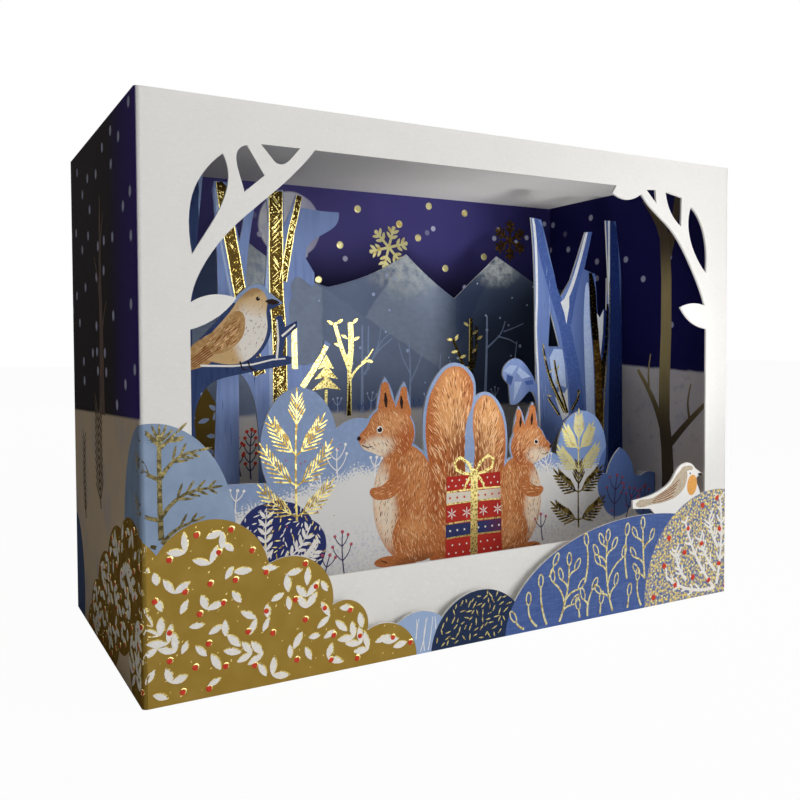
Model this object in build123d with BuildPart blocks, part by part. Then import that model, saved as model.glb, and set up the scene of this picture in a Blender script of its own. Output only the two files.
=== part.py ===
from build123d import *
import os

# A greeting card that stands up as a box: a folded sleeve of printed board with a die-cut window
# in its front, and three die-cut layers glued between its side walls, one behind the other.
# Millimetres. +X runs to the right along the front, +Y from the front to the back, +Z up.
# The origin is the centre of the footprint, on the surface that the card stands on.

# The card as it stands
card_width = 150.0
card_height = 110.0
card_depth = 72.0
board = 0.5
crease_radius = 0.9

# The window's frame
left_bar = 9.3
right_bar = 8.0
top_bar = 7.7
sill = 5.0

# The base and top panels, which tuck in behind the front
base_flap_height = 18.6
top_flap_height = 5.6
flap_corner = 3.0
panel_side_gap = 0.6
tuck_gap = 1.6
hinge_strip = 3.0

# The glue lap inside the back, and the glue tabs of the layers
lap_width = 12.0
lap_setback = 5.0
lap_bevel = 3.0
tab_width = 7.0
tab_bevel = 2.0

# Where the layers stand, from the front's outer face, and from the back's for the last one
branch_panel_depth = 24.0
tree_panel_depth = 37.6
mountain_to_back = 12.0

# The air above and below each layer
foot_gap = 0.6
branch_headroom = 9.0
tree_headroom = 7.5
mountain_headroom = 18.0

left_face = -card_width / 2
right_face = card_width / 2
front_face = -card_depth / 2
back_face = card_depth / 2
inner_width = card_width - 2 * board
ceiling = card_height - board
layer_foot = board + foot_gap


def facing_front(y):
    """A drawing plane parallel to the card's front, at depth y: its axes are +X and +Z."""
    return Plane(origin=(0, y, 0), x_dir=(1, 0, 0), z_dir=(0, -1, 0))


def cut_shape(*runs, mode=Mode.ADD):
    """A shape whose edge is smooth along each run of points and has a corner where runs meet.

    Each run ends at the first point of the next one, and the last run ends where the first began.
    """
    with BuildLine() as edge:
        for run, following in zip(runs, runs[1:] + runs[:1]):
            points = run + following[:1]
            if len(points) == 2:
                Line(*points)
            else:
                Spline(*points)
    make_face(edge.edges(), mode=mode)


def round_shape(centre, half_width, half_height, turn=0, mode=Mode.ADD):
    """A round or oval lobe, such as a bush is cut from."""
    with Locations(centre):
        Ellipse(half_width, half_height, rotation=turn, mode=mode)


# The sleeve: front, right side, back, left side and glue lap, with the base and top panels

window_left = left_face + left_bar
window_right = right_face - right_bar
window_top = card_height - top_bar


def from_left(x, z):
    """A point x in from the left face and z above the base."""
    return (left_face + x, z)


def from_right(x, z):
    """A point x in from the right face and z above the base."""
    return (right_face - x, z)


def left_corner(x, drop):
    """A point x right of the window's top left corner and drop below it."""
    return (window_left + x, window_top - drop)


def right_corner(x, drop):
    """A point x left of the window's top right corner and drop below it."""
    return (window_right - x, window_top - drop)


# Bushes along the window's lower edge: centre, half width and half height of each lobe
front_bushes = [
    (from_left(2, 30), 15.4, 21),
    (from_left(12.5, 21.5), 11.4, 11.4),
    (from_left(28, 15), 9.2, 9.2),
    (from_left(39.5, 8.6), 5.4, 5.4),
    (from_left(48.3, 0), 7.9, 7.9),
    (from_left(20, 4), 20, 11),
    ((-18, 0.4), 8.6, 8.6),
    ((-2.6, -1.3), 12.7, 12.7),
    (from_right(29, -1), 42, 24),
    (from_right(4, 1), 25, 26.2),
]

with BuildPart() as card_sleeve:
    with BuildSketch():
        RectangleRounded(card_width, card_depth, crease_radius)
        RectangleRounded(
            card_width - 2 * board, card_depth - 2 * board, crease_radius - board, mode=Mode.SUBTRACT
        )
    extrude(amount=card_height)

    # the die-cut window in the front wall
    with BuildSketch(facing_front(front_face)):
        with Locations(((window_left + window_right) / 2, (sill + window_top) / 2)):
            Rectangle(window_right - window_left, window_top - sill)
        for centre, half_width, half_height in front_bushes:
            round_shape(centre, half_width, half_height, mode=Mode.SUBTRACT)

        # the small bird on the right-hand bush, which looks to the right
        cut_shape(
            [
                from_right(11.6, 33.2),
                from_right(14.6, 34.8),
                from_right(17.8, 33.6),
                from_right(20, 30.8),
                from_right(23.2, 28.8),
                from_right(27, 27.6),
            ],
            [from_right(33, 26.8)],
            [from_right(32.9, 24.8)],
            [from_right(27, 24.3), from_right(23.4, 21.5)],
            [from_right(13, 21.5)],
            [from_right(10.6, 24.4), from_right(10, 27.4), from_right(11.2, 30.2)],
            [from_right(8.8, 31.5)],
            mode=Mode.SUBTRACT,
        )

        # the bare bough across the top left corner, with one leaf at its foot
        cut_shape(
            [
                left_corner(24.7, 0),
                left_corner(21.8, 3.4),
                left_corner(14.6, 10.1),
                left_corner(8.3, 15.7),
                left_corner(2.7, 22.8),
                left_corner(0.8, 26.8),
            ],
            [left_corner(0, 32)],
            [left_corner(-left_bar / 2, 32)],
            [left_corner(-left_bar / 2, -top_bar / 2)],
            [left_corner(24.7, -top_bar / 2)],
            mode=Mode.SUBTRACT,
        )
        cut_shape(
            [left_corner(-1, 30.6), left_corner(3.8, 28.3)],
            [left_corner(8.7, 28.8), left_corner(6.5, 31.2), left_corner(4, 33)],
            [left_corner(-1, 34.9)],
            mode=Mode.SUBTRACT,
        )

        # the bough across the top right corner, with a leaf at each end
        cut_shape(
            [
                right_corner(22.8, 1.2),
                right_corner(19.8, 4.2),
                right_corner(12.8, 9.2),
                right_corner(6, 17.5),
                right_corner(2, 24.4),
            ],
            [right_corner(0, 29.5)],
            [right_corner(-right_bar / 2, 29.5)],
            [right_corner(-right_bar / 2, -top_bar / 2)],
            [right_corner(26, -top_bar / 2)],
            [right_corner(26, 0.8)],
            mode=Mode.SUBTRACT,
        )
        cut_shape(
            [right_corner(30, -1)],
            [right_corner(31.8, 1.9), right_corner(27.3, 3.1)],
            [right_corner(22.4, 1.2)],
            [right_corner(22.4, -1)],
            mode=Mode.SUBTRACT,
        )
        cut_shape(
            [right_corner(-1, 28.4), right_corner(4.8, 27.3)],
            [right_corner(9.2, 28.4), right_corner(6.8, 31)],
            [right_corner(-1, 33.8)],
            mode=Mode.SUBTRACT,
        )

        # the openings between the twigs of the left-hand bough
        cut_shape(
            [
                left_corner(0.5, 21.2),
                left_corner(0, 14.5),
                left_corner(0.9, 9.7),
                left_corner(3.4, 5.4),
            ],
            [left_corner(6.4, 2.5), left_corner(7.4, 6), left_corner(5.6, 12.8)],
        )
        cut_shape(
            [left_corner(11, 0.5), left_corner(9.3, 1.6), left_corner(9.5, 6)],
            [left_corner(10.4, 9.2)],
            [left_corner(14.4, 5.8)],
        )
        cut_shape(
            [left_corner(13.7, 0)],
            [left_corner(21.6, 0), left_corner(20, 1.9), left_corner(17.8, 3.4)],
            [left_corner(16.4, 3)],
        )

        # the openings between the twigs of the right-hand bough
        cut_shape(
            [right_corner(21, 0.2)],
            [right_corner(18, 0)],
            [right_corner(17.6, 3.4)],
        )
        cut_shape(
            [right_corner(14.6, 0.2)],
            [right_corner(9, 1.2)],
            [right_corner(9.2, 8.4), right_corner(12.4, 5.6)],
        )
        cut_shape(
            [right_corner(5.8, 3.2), right_corner(1.9, 7.6), right_corner(0.2, 13.6)],
            [right_corner(0.2, 19.6), right_corner(4.2, 15), right_corner(6.6, 8.6)],
        )
    extrude(amount=-2 * board, mode=Mode.SUBTRACT)

    # the glue lap, folded in from the left side against the inside of the back
    with BuildSketch(facing_front(back_face - board)):
        lap_foot = lap_setback
        lap_head = card_height - lap_setback
        lap_left = left_face + board
        cut_shape(
            [(lap_left, lap_foot)],
            [(lap_left + lap_width, lap_foot + lap_bevel)],
            [(lap_left + lap_width, lap_head - lap_bevel)],
            [(lap_left, lap_head)],
        )
    extrude(amount=board)

    # the base and top panels leave the back at a crease and turn at another into their tuck flaps
    strip_width = inner_width - 2 * panel_side_gap
    flap_face = front_face + board + tuck_gap
    for foot, side, flap_height in [(0, 1, base_flap_height), (card_height, -1, top_flap_height)]:
        with Locations((0, back_face - board / 2, foot + side * hinge_strip / 2)):
            Box(strip_width, board, hinge_strip, mode=Mode.SUBTRACT)
        with BuildSketch(Plane.YZ) as bent_strip:
            with Locations(((flap_face + back_face) / 2, foot + side * board / 2)):
                Rectangle(back_face - flap_face, board)
            with Locations((back_face - board / 2, foot + side * hinge_strip / 2)):
                Rectangle(board, hinge_strip)
            with Locations((flap_face + board / 2, foot + side * flap_height / 2)):
                Rectangle(board, flap_height)
            outer_corners = bent_strip.vertices().group_by(Axis.Y)[0 if side > 0 else -1]
            inner_corners = bent_strip.vertices().group_by(Axis.Y)[1 if side > 0 else -2]
            fillet(outer_corners, crease_radius)
            fillet(inner_corners, crease_radius - board)
        extrude(amount=strip_width / 2, both=True)

    # the tuck flaps have their free corners cut off
    flap_ends = (
        card_sleeve.edges()
        .filter_by(Axis.Y)
        .filter_by(lambda edge: abs(edge.length - board) < 0.01)
        .filter_by(lambda edge: abs(edge.center().Y - flap_face - board / 2) < 0.01)
    )
    chamfer(flap_ends.filter_by(lambda edge: edge.center().Z < card_height / 2), flap_corner)
    chamfer(flap_ends.filter_by(lambda edge: edge.center().Z > card_height / 2), flap_corner)

card_sleeve.part.label = "card_sleeve"


# The layers: each is a plate as wide as the sleeve's inside, with a glue tab folded back at each end


def folded_plan(face):
    """The layer seen from above, its plate's front at y = face."""
    with Locations((0, face + board / 2)):
        Rectangle(inner_width, board)
    with Locations(
        ((board - inner_width) / 2, face + tab_width / 2),
        ((inner_width - board) / 2, face + tab_width / 2),
    ):
        Rectangle(board, tab_width)


with BuildPart() as branch_panel:
    branch_face = front_face + branch_panel_depth
    branch_top = ceiling - branch_headroom
    branch_rise = branch_top - layer_foot

    def trunk_point(x, rise_percent):
        """A point x in from the left face, and up by a percentage of the layer's height."""
        return from_left(x, layer_foot + branch_rise * rise_percent / 100)

    with BuildSketch(Plane.XY.offset(layer_foot)) as plan:
        folded_plan(branch_face)
        fillet(plan.vertices().group_by(Axis.Y)[1], crease_radius - board)
        fillet(plan.vertices().group_by(Axis.Y)[0], crease_radius)
    extrude(amount=branch_rise)

    with BuildSketch(facing_front(branch_face)):
        # the snowy ground, with its banks
        with Locations((0, (layer_foot + 27.5) / 2)):
            Rectangle(inner_width, 27.5 - layer_foot)
        round_shape(from_left(24, 16), 43, 19)
        round_shape(from_left(55, 33), 11, 15)
        round_shape(from_right(25, 9), 47, 20.5)
        round_shape(from_right(40, 26), 8, 10.6)

        # the fir bushes and the berry bush
        round_shape(from_left(40.3, 42), 9.3, 13.4)
        round_shape(from_right(28, 36), 8.5, 11)
        cut_shape(
            [from_right(19.5, 26), from_right(17.5, 33)],
            [from_right(14.4, 36.2), from_right(11.4, 34), from_right(9.2, 27)],
        )
        round_shape(from_right(3.5, 22.4), 5.6, 6.4)

        # the trunk along the left wall and its bough
        cut_shape(
            [trunk_point(board, 0)],
            [trunk_point(17, 0)],
            [
                trunk_point(16.8, 46),
                trunk_point(17.6, 52.6),
                trunk_point(20.2, 56),
                trunk_point(24.6, 57.5),
                trunk_point(32.6, 58.9),
            ],
            [trunk_point(38.4, 60)],
            [trunk_point(38.6, 61.4), trunk_point(34.5, 62), trunk_point(27, 60.6)],
            [trunk_point(16.3, 60.6), trunk_point(16.6, 73), trunk_point(17.8, 88)],
            [trunk_point(19, 100)],
            [trunk_point(board, 100)],
        )
        cut_shape(
            [trunk_point(34.4, 61), trunk_point(35.4, 66)],
            [trunk_point(34.9, 70.4)],
            [trunk_point(36.2, 70.8)],
            [trunk_point(37, 68.2)],
            [trunk_point(39.8, 69.6)],
            [trunk_point(40.2, 68.4)],
            [trunk_point(37, 65.6)],
            [trunk_point(36.2, 61)],
        )

        # the songbird on the bough, which looks to the right
        cut_shape(
            [
                trunk_point(33.6, 75.6),
                trunk_point(30.6, 77.4),
                trunk_point(27, 75.6),
                trunk_point(23.4, 71.4),
                trunk_point(19.6, 67.2),
            ],
            [trunk_point(14, 62)],
            [trunk_point(14, 58)],
            [trunk_point(27.5, 59.5), trunk_point(31.6, 62.8), trunk_point(33.8, 67.4)],
            [trunk_point(33.4, 71.8)],
            [trunk_point(36.6, 73.4)],
        )

        # the larger squirrel, which looks to the left: tail, body, head, nose and ears
        cut_shape(
            [
                (-2, 12),
                (0, 24),
                (-2, 36),
                (-2.8, 47),
                (0, 56),
                (6, 60.4),
                (11.6, 57.4),
                (12.4, 51),
                (12, 43),
            ],
            [(14, 30)],
            [(14, 12)],
        )
        round_shape((-7.4, 27), 9.6, 14.8, turn=6)
        round_shape((-11.8, 44.2), 6.9, 6.5, turn=-12)
        round_shape((-17, 42.8), 3.8, 3.2, turn=20)
        cut_shape([(-15.4, 49), (-15, 53)], [(-13.2, 57.4), (-11.2, 53.8)], [(-10.4, 49)])
        cut_shape([(-10.6, 49), (-10, 52.6)], [(-8, 56.2), (-6.6, 52.4)], [(-6.2, 46.6)])

        # the smaller squirrel, which looks to the right
        cut_shape(
            [
                (22, 12),
                (20, 22),
                (21.6, 32),
                (22.2, 41),
                (20.4, 49),
                (15.4, 53),
                (10.8, 50.4),
                (9, 43),
            ],
            [(8, 30)],
            [(8, 12)],
        )
        round_shape((25.2, 24), 8.2, 12.8, turn=-6)
        round_shape((28.8, 38.8), 5.9, 5.6, turn=12)
        round_shape((33.2, 37.6), 3.3, 2.8, turn=-20)
        cut_shape([(24, 41), (24.4, 45)], [(25.8, 49), (27.4, 46)], [(27.6, 42.6)])
        cut_shape([(27.6, 43), (28.4, 46.4)], [(30.2, 50), (31.6, 46.4)], [(31.8, 42.6)])
    extrude(amount=-tab_width, mode=Mode.INTERSECT)
    chamfer(
        branch_panel.edges().filter_by(Axis.X).group_by(Axis.Y)[-1],
        tab_bevel,
    )

branch_panel.part.label = "branch_panel"


with BuildPart() as tree_panel:
    tree_face = front_face + tree_panel_depth
    tree_top = ceiling - tree_headroom
    tree_rise = tree_top - layer_foot

    def left_tree(x, rise_percent):
        """A point x in from the left face, and up by a percentage of the trees' height."""
        return from_left(x, layer_foot + tree_rise * rise_percent / 100)

    def right_tree(x, rise_percent):
        """A point x in from the right face, and up by a percentage of the trees' height."""
        return from_right(x, layer_foot + tree_rise * rise_percent / 100)

    with BuildSketch(Plane.XY.offset(layer_foot)) as plan:
        folded_plan(tree_face)
        fillet(plan.vertices().group_by(Axis.Y)[1], crease_radius - board)
        fillet(plan.vertices().group_by(Axis.Y)[0], crease_radius)
    extrude(amount=tree_rise)

    with BuildSketch(facing_front(tree_face)):
        # the low strip of ground that joins the two groups of trees
        with Locations((0, (layer_foot + 22) / 2)):
            Rectangle(inner_width, 22 - layer_foot)

        # the left-hand group: a trunk at the wall, a forked trunk and a tall one with twigs
        cut_shape(
            [left_tree(board, 0)],
            [left_tree(12, 0), left_tree(8.5, 50)],
            [left_tree(9.5, 96)],
            [left_tree(board, 96)],
        )
        cut_shape(
            [left_tree(25, 0), left_tree(25.7, 55), left_tree(26, 85)],
            [left_tree(25.2, 98)],
            [left_tree(25.6, 100)],
            [left_tree(29.4, 100), left_tree(30.2, 93)],
            [left_tree(31.4, 86.6), left_tree(32.6, 93)],
            [left_tree(33.4, 99)],
            [left_tree(36, 99), left_tree(34.2, 90)],
            [left_tree(32.9, 79), left_tree(33.6, 72)],
            [left_tree(35, 66), left_tree(37.2, 76)],
            [left_tree(38, 98.6)],
            [left_tree(42.2, 99.4)],
            [left_tree(42.4, 91.4), left_tree(44, 95)],
            [left_tree(45.4, 98.6)],
            [left_tree(47, 98.2)],
            [left_tree(45.6, 93)],
            [left_tree(43.6, 87), left_tree(43.4, 79)],
            [left_tree(43.4, 68.8)],
            [left_tree(45.8, 68.4)],
            [left_tree(45.6, 58.6), left_tree(48.4, 58.6)],
            [left_tree(52.6, 64.4)],
            [left_tree(54.2, 63.4), left_tree(51.2, 58.4)],
            [left_tree(47.4, 52.8), left_tree(43.6, 40)],
            [left_tree(44, 0)],
        )
        cut_shape(
            [left_tree(43, 92)],
            [left_tree(47, 95.6), left_tree(52, 95.2)],
            [left_tree(56.6, 95.2), left_tree(56, 92.4), left_tree(51.8, 89.4)],
            [left_tree(47.8, 83.8)],
            [left_tree(50, 80.4), left_tree(49, 77.2), left_tree(46.6, 79)],
            [left_tree(43.8, 77), left_tree(43, 73)],
            [left_tree(42, 73)],
        )
        cut_shape(
            [left_tree(30.9, 57.1), left_tree(33.4, 53.7), left_tree(35.2, 47), left_tree(35.6, 40)],
            [left_tree(35.5, 28)],
            [left_tree(30.8, 28)],
            mode=Mode.SUBTRACT,
        )

        # the right-hand group: a tall trunk, two crossing boughs and a trunk at the wall
        cut_shape(
            [right_tree(32, 0), right_tree(31.9, 38), right_tree(33.1, 60), right_tree(33.6, 85)],
            [right_tree(34.8, 98)],
            [right_tree(31.2, 97.6), right_tree(28.2, 88.2)],
            [right_tree(24.6, 76)],
            [right_tree(20.8, 81.2), right_tree(17.6, 89)],
            [right_tree(15.2, 95.2)],
            [right_tree(12.6, 95.4), right_tree(14, 90)],
            [right_tree(15.6, 84.6)],
            [right_tree(11.4, 83.4)],
            [right_tree(9.6, 61)],
            [right_tree(7.8, 61.6)],
            [right_tree(6.4, 82.8)],
            [right_tree(7.4, 99)],
            [right_tree(3.6, 99)],
            [right_tree(board, 80)],
            [right_tree(board, 0)],
        )
        cut_shape(
            [right_tree(28, 72.8)],
            [right_tree(28.6, 62.6)],
            [right_tree(24.6, 62.6)],
            mode=Mode.SUBTRACT,
        )
        cut_shape(
            [right_tree(28.8, 33)],
            [right_tree(23.6, 40.2)],
            [right_tree(22, 33), right_tree(24.6, 26)],
            mode=Mode.SUBTRACT,
        )

        # a snow-laden stub of twig on the tall trunk
        cut_shape(
            [right_tree(32.4, 51), right_tree(36, 57), right_tree(40, 59.4), right_tree(44, 57)],
            [right_tree(42.4, 52.4)],
            [right_tree(41.8, 47), right_tree(38.8, 47.4), right_tree(36, 49.8)],
            [right_tree(32.2, 45)],
        )
    extrude(amount=-tab_width, mode=Mode.INTERSECT)
    chamfer(
        tree_panel.edges().filter_by(Axis.X).group_by(Axis.Y)[-1],
        tab_bevel,
    )

tree_panel.part.label = "tree_panel"


with BuildPart() as mountain_panel:
    mountain_face = back_face - mountain_to_back
    mountain_top = ceiling - mountain_headroom
    mountain_rise = mountain_top - layer_foot

    def ridge(width_percent, rise_percent):
        """A point along the skyline, as percentages of the layer's width and height."""
        return (
            -inner_width / 2 + inner_width * width_percent / 100,
            layer_foot + mountain_rise * rise_percent / 100,
        )

    with BuildSketch(Plane.XY.offset(layer_foot)) as plan:
        folded_plan(mountain_face)
        fillet(plan.vertices().group_by(Axis.Y)[1], crease_radius - board)
        fillet(plan.vertices().group_by(Axis.Y)[0], crease_radius)
    extrude(amount=mountain_rise)

    with BuildSketch(facing_front(mountain_face)):
        cut_shape(
            [ridge(0, 0)],
            [ridge(0, 91), ridge(14, 95)],
            [ridge(27.4, 100), ridge(33, 94)],
            [ridge(42.4, 88), ridge(50, 91.6)],
            [ridge(58.9, 99), ridge(64, 92)],
            [ridge(69.8, 85.6)],
            [ridge(80, 100)],
            [ridge(88.6, 92.4), ridge(93, 90.4)],
            [ridge(100, 90)],
            [ridge(100, 0)],
        )
    extrude(amount=-tab_width, mode=Mode.INTERSECT)
    chamfer(
        mountain_panel.edges().filter_by(Axis.X).group_by(Axis.Y)[-1],
        tab_bevel,
    )

mountain_panel.part.label = "mountain_panel"


os.makedirs("parts", exist_ok=True)
export_step(card_sleeve.part, "parts/card_sleeve.step")
export_step(branch_panel.part, "parts/branch_panel.step")
export_step(tree_panel.part, "parts/tree_panel.step")
export_step(mountain_panel.part, "parts/mountain_panel.step")
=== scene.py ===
# %% [markdown]
# # A window card with a winter wood
#
# The real thing is one folded sleeve of white board with a die-cut window, and three die-cut
# layers glued inside it. The CAD model gives those four sheets. What is made here is what a
# printer adds to them: flat ink, a film of gold foil, and the small drawings in both.

# %% Load the sheets of board
import math
import random

import bmesh
import bpy
from mathutils import Matrix, Vector


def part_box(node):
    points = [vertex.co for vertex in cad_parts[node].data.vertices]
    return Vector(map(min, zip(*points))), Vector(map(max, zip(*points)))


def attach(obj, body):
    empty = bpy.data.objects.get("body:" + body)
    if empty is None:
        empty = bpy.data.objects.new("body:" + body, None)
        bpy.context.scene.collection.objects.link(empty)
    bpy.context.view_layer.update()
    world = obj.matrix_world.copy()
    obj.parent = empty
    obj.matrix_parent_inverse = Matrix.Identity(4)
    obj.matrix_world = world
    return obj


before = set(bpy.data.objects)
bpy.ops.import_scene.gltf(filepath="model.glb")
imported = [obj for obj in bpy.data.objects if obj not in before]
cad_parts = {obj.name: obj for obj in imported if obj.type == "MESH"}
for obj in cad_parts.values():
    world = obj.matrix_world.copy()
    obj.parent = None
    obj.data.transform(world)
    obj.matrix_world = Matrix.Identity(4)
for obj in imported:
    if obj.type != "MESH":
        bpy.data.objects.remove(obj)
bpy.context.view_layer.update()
print("sheets:", sorted(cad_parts))

# %% [markdown]
# ## The card's sizes
#
# All drawing is done in millimetres, in the way a printer's sheet is drawn, and only becomes
# metres when it is laid on the card. The sizes come from the sheets, so nothing is fitted by eye.

# %% Sizes, in millimetres
MM = 0.001
sleeve_low, sleeve_high = (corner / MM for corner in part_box("card_sleeve"))
left_face, front_face = sleeve_low.x, sleeve_low.y
right_face, back_face = sleeve_high.x, sleeve_high.y
card_width = right_face - left_face
branch_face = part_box("branch_panel")[0].y / MM
tree_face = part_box("tree_panel")[0].y / MM
mountain_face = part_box("mountain_panel")[0].y / MM
board = 0.5
crease_radius = 0.9
print("card:", round(card_width, 2), round(back_face - front_face, 2), round(sleeve_high.z, 2))

# %% [markdown]
# ## Camera, light and floor
#
# The card was photographed from its left front corner with the camera a little above its middle,
# so the side and the front both show and the inside is seen from the left. Fixing the camera first
# means that every later piece can be judged in the photograph's own frame.

# %% Camera
CAMERA_PLACE = Vector((-108.47, -190.0, 64.42)) * MM
CAMERA_TURN, CAMERA_DIP, CAMERA_ROLL = (math.radians(angle) for angle in (29.177, 1.935, -0.246))


def into_scene(thing):
    """Links a new object to the scene and makes it the only one selected, ready for operators."""
    bpy.context.scene.collection.objects.link(thing)
    bpy.ops.object.select_all(action="DESELECT")
    thing.select_set(True)
    bpy.context.view_layer.objects.active = thing
    return thing


camera_data = bpy.data.cameras.new("camera")
camera_data.sensor_width = 36.0
camera_data.lens = 38.765
camera_data.shift_y = -0.0304
camera_data.clip_start = 0.005
camera = into_scene(bpy.data.objects.new("camera", camera_data))
camera.matrix_world = (
    Matrix.Translation(CAMERA_PLACE)
    @ Matrix.Rotation(-CAMERA_TURN, 4, "Z")
    @ Matrix.Rotation(math.pi / 2 - CAMERA_DIP, 4, "X")
    @ Matrix.Rotation(CAMERA_ROLL, 4, "Z")
)
bpy.context.scene.camera = camera
bpy.context.scene.view_settings.view_transform = "Standard"


# %% Lamps
def soft_lamp(name, place, aim, width, watts, depth=None, spread=180):
    """A studio soft box at a place, turned to face a point; a small spread is a honeycomb on it."""
    lamp_data = bpy.data.lights.new(name, "AREA")
    lamp_data.shape = "RECTANGLE"
    lamp_data.size = width
    lamp_data.size_y = depth or width
    lamp_data.spread = math.radians(spread)
    lamp_data.energy = watts
    lamp = into_scene(bpy.data.objects.new(name, lamp_data))
    lamp.location = place
    lamp.rotation_euler = (Vector(aim) - Vector(place)).to_track_quat("-Z", "Y").to_euler()
    lamp.visible_camera = False


soft_lamp("key_light", (0.52, -0.46, 0.23), (0.0, 0.0, 0.05), 0.24, 1.5)
soft_lamp("front_light", (0.15, -0.60, 0.15), (0.0, 0.0, 0.05), 0.30, 0.95)
soft_lamp("overhead_light", (0.05, -0.36, 0.5), (0.05, -0.36, 0.0), 0.40, 1.0)
soft_lamp("night_glow", (0.035, 0.0300, 0.076), (0.035, 0.027, 0.109), 0.08, 0.0016, depth=0.005, spread=150)
soft_lamp("table_bounce", (0.020, -0.085, 0.004), (0.056, 0.045, 0.135), 0.06, 0.0092, depth=0.02, spread=44)
soft_lamp("rear_light", (0.15, 0.75, 0.45), (0.0, 0.0, 0.06), 0.40, 1.2)


# %% A node and what goes into it
def add_node(tree, kind, feeds=(), **settings):
    """Adds a shader node; feeds gives its inputs, by name or number, a wire or a plain value."""
    node = tree.nodes.new("ShaderNode" + kind)
    for setting, value in settings.items():
        setattr(node, setting, value)
    for name, value in dict(feeds).items():
        socket = node.inputs[name]
        if isinstance(value, bpy.types.NodeSocket):
            tree.links.new(value, socket)
        else:
            socket.default_value = value[:3] if socket.type == "VECTOR" else value
    return node


# %% The room: dim as a light, white where it is seen or mirrored
world = bpy.data.worlds.new("studio")
bpy.context.scene.world = world
world.use_nodes = True
world.node_tree.nodes.clear()
rays = add_node(world.node_tree, "LightPath").outputs
room = add_node(world.node_tree, "Background", {"Color": (0.96, 0.98, 1.0, 1), "Strength": 0.04})
backdrop = add_node(world.node_tree, "Background", {"Color": (1, 1, 1, 1), "Strength": 1.0})
seen = add_node(world.node_tree, "Math", {0: rays["Is Camera Ray"], 1: rays["Is Glossy Ray"]},
                operation="MAXIMUM")
choose = add_node(world.node_tree, "MixShader",
                  {0: seen.outputs[0], 1: room.outputs[0], 2: backdrop.outputs[0]})
add_node(world.node_tree, "OutputWorld", {0: choose.outputs[0]})

# %% Floor
FLOOR_WHITENESS = 0.97
bpy.ops.mesh.primitive_plane_add(size=6.0, location=(0, 0, -0.0002))
floor = bpy.context.object
floor.name = "floor"
floor_paint = bpy.data.materials.new("white_floor")
floor_paint.use_nodes = True
floor_paint.node_tree.nodes.clear()
rays = add_node(floor_paint.node_tree, "LightPath").outputs
matt = add_node(floor_paint.node_tree, "BsdfDiffuse", {"Color": (0.93, 0.93, 0.93, 1)})
glow = add_node(floor_paint.node_tree, "Emission", {"Strength": 1.0})
seen = add_node(floor_paint.node_tree, "Math", {0: rays["Is Camera Ray"], 1: FLOOR_WHITENESS},
                operation="MULTIPLY")
mix = add_node(floor_paint.node_tree, "MixShader",
               {0: seen.outputs[0], 1: matt.outputs[0], 2: glow.outputs[0]})
add_node(floor_paint.node_tree, "OutputMaterial", {0: mix.outputs[0]})
floor.data.materials.append(floor_paint)

# %% [markdown]
# ## A painter for inks
#
# Printed watercolour has soft edges, blooms and speckle that would take endless small shapes. It
# could be an image, but a picture has one size and says nothing of how it was made. A painter that
# lays one colour over another through soft masks gives the same look at any distance, and every
# mask is a plain oval or a line, given in millimetres on the card. Colours are given as 0 to 255.


# %% Colours as read on a screen
def screen(red, green, blue):
    """A colour as read on a screen, made linear for a shader."""
    shares = (value / 255 for value in (red, green, blue))
    return (*(v / 12.92 if v <= 0.04045 else ((v + 0.055) / 1.055) ** 2.4 for v in shares), 1.0)


# %% The painter
NO_DEPTH = 1000.0  # a depth scale so large that the depth in the card plays no part in a mask


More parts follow.
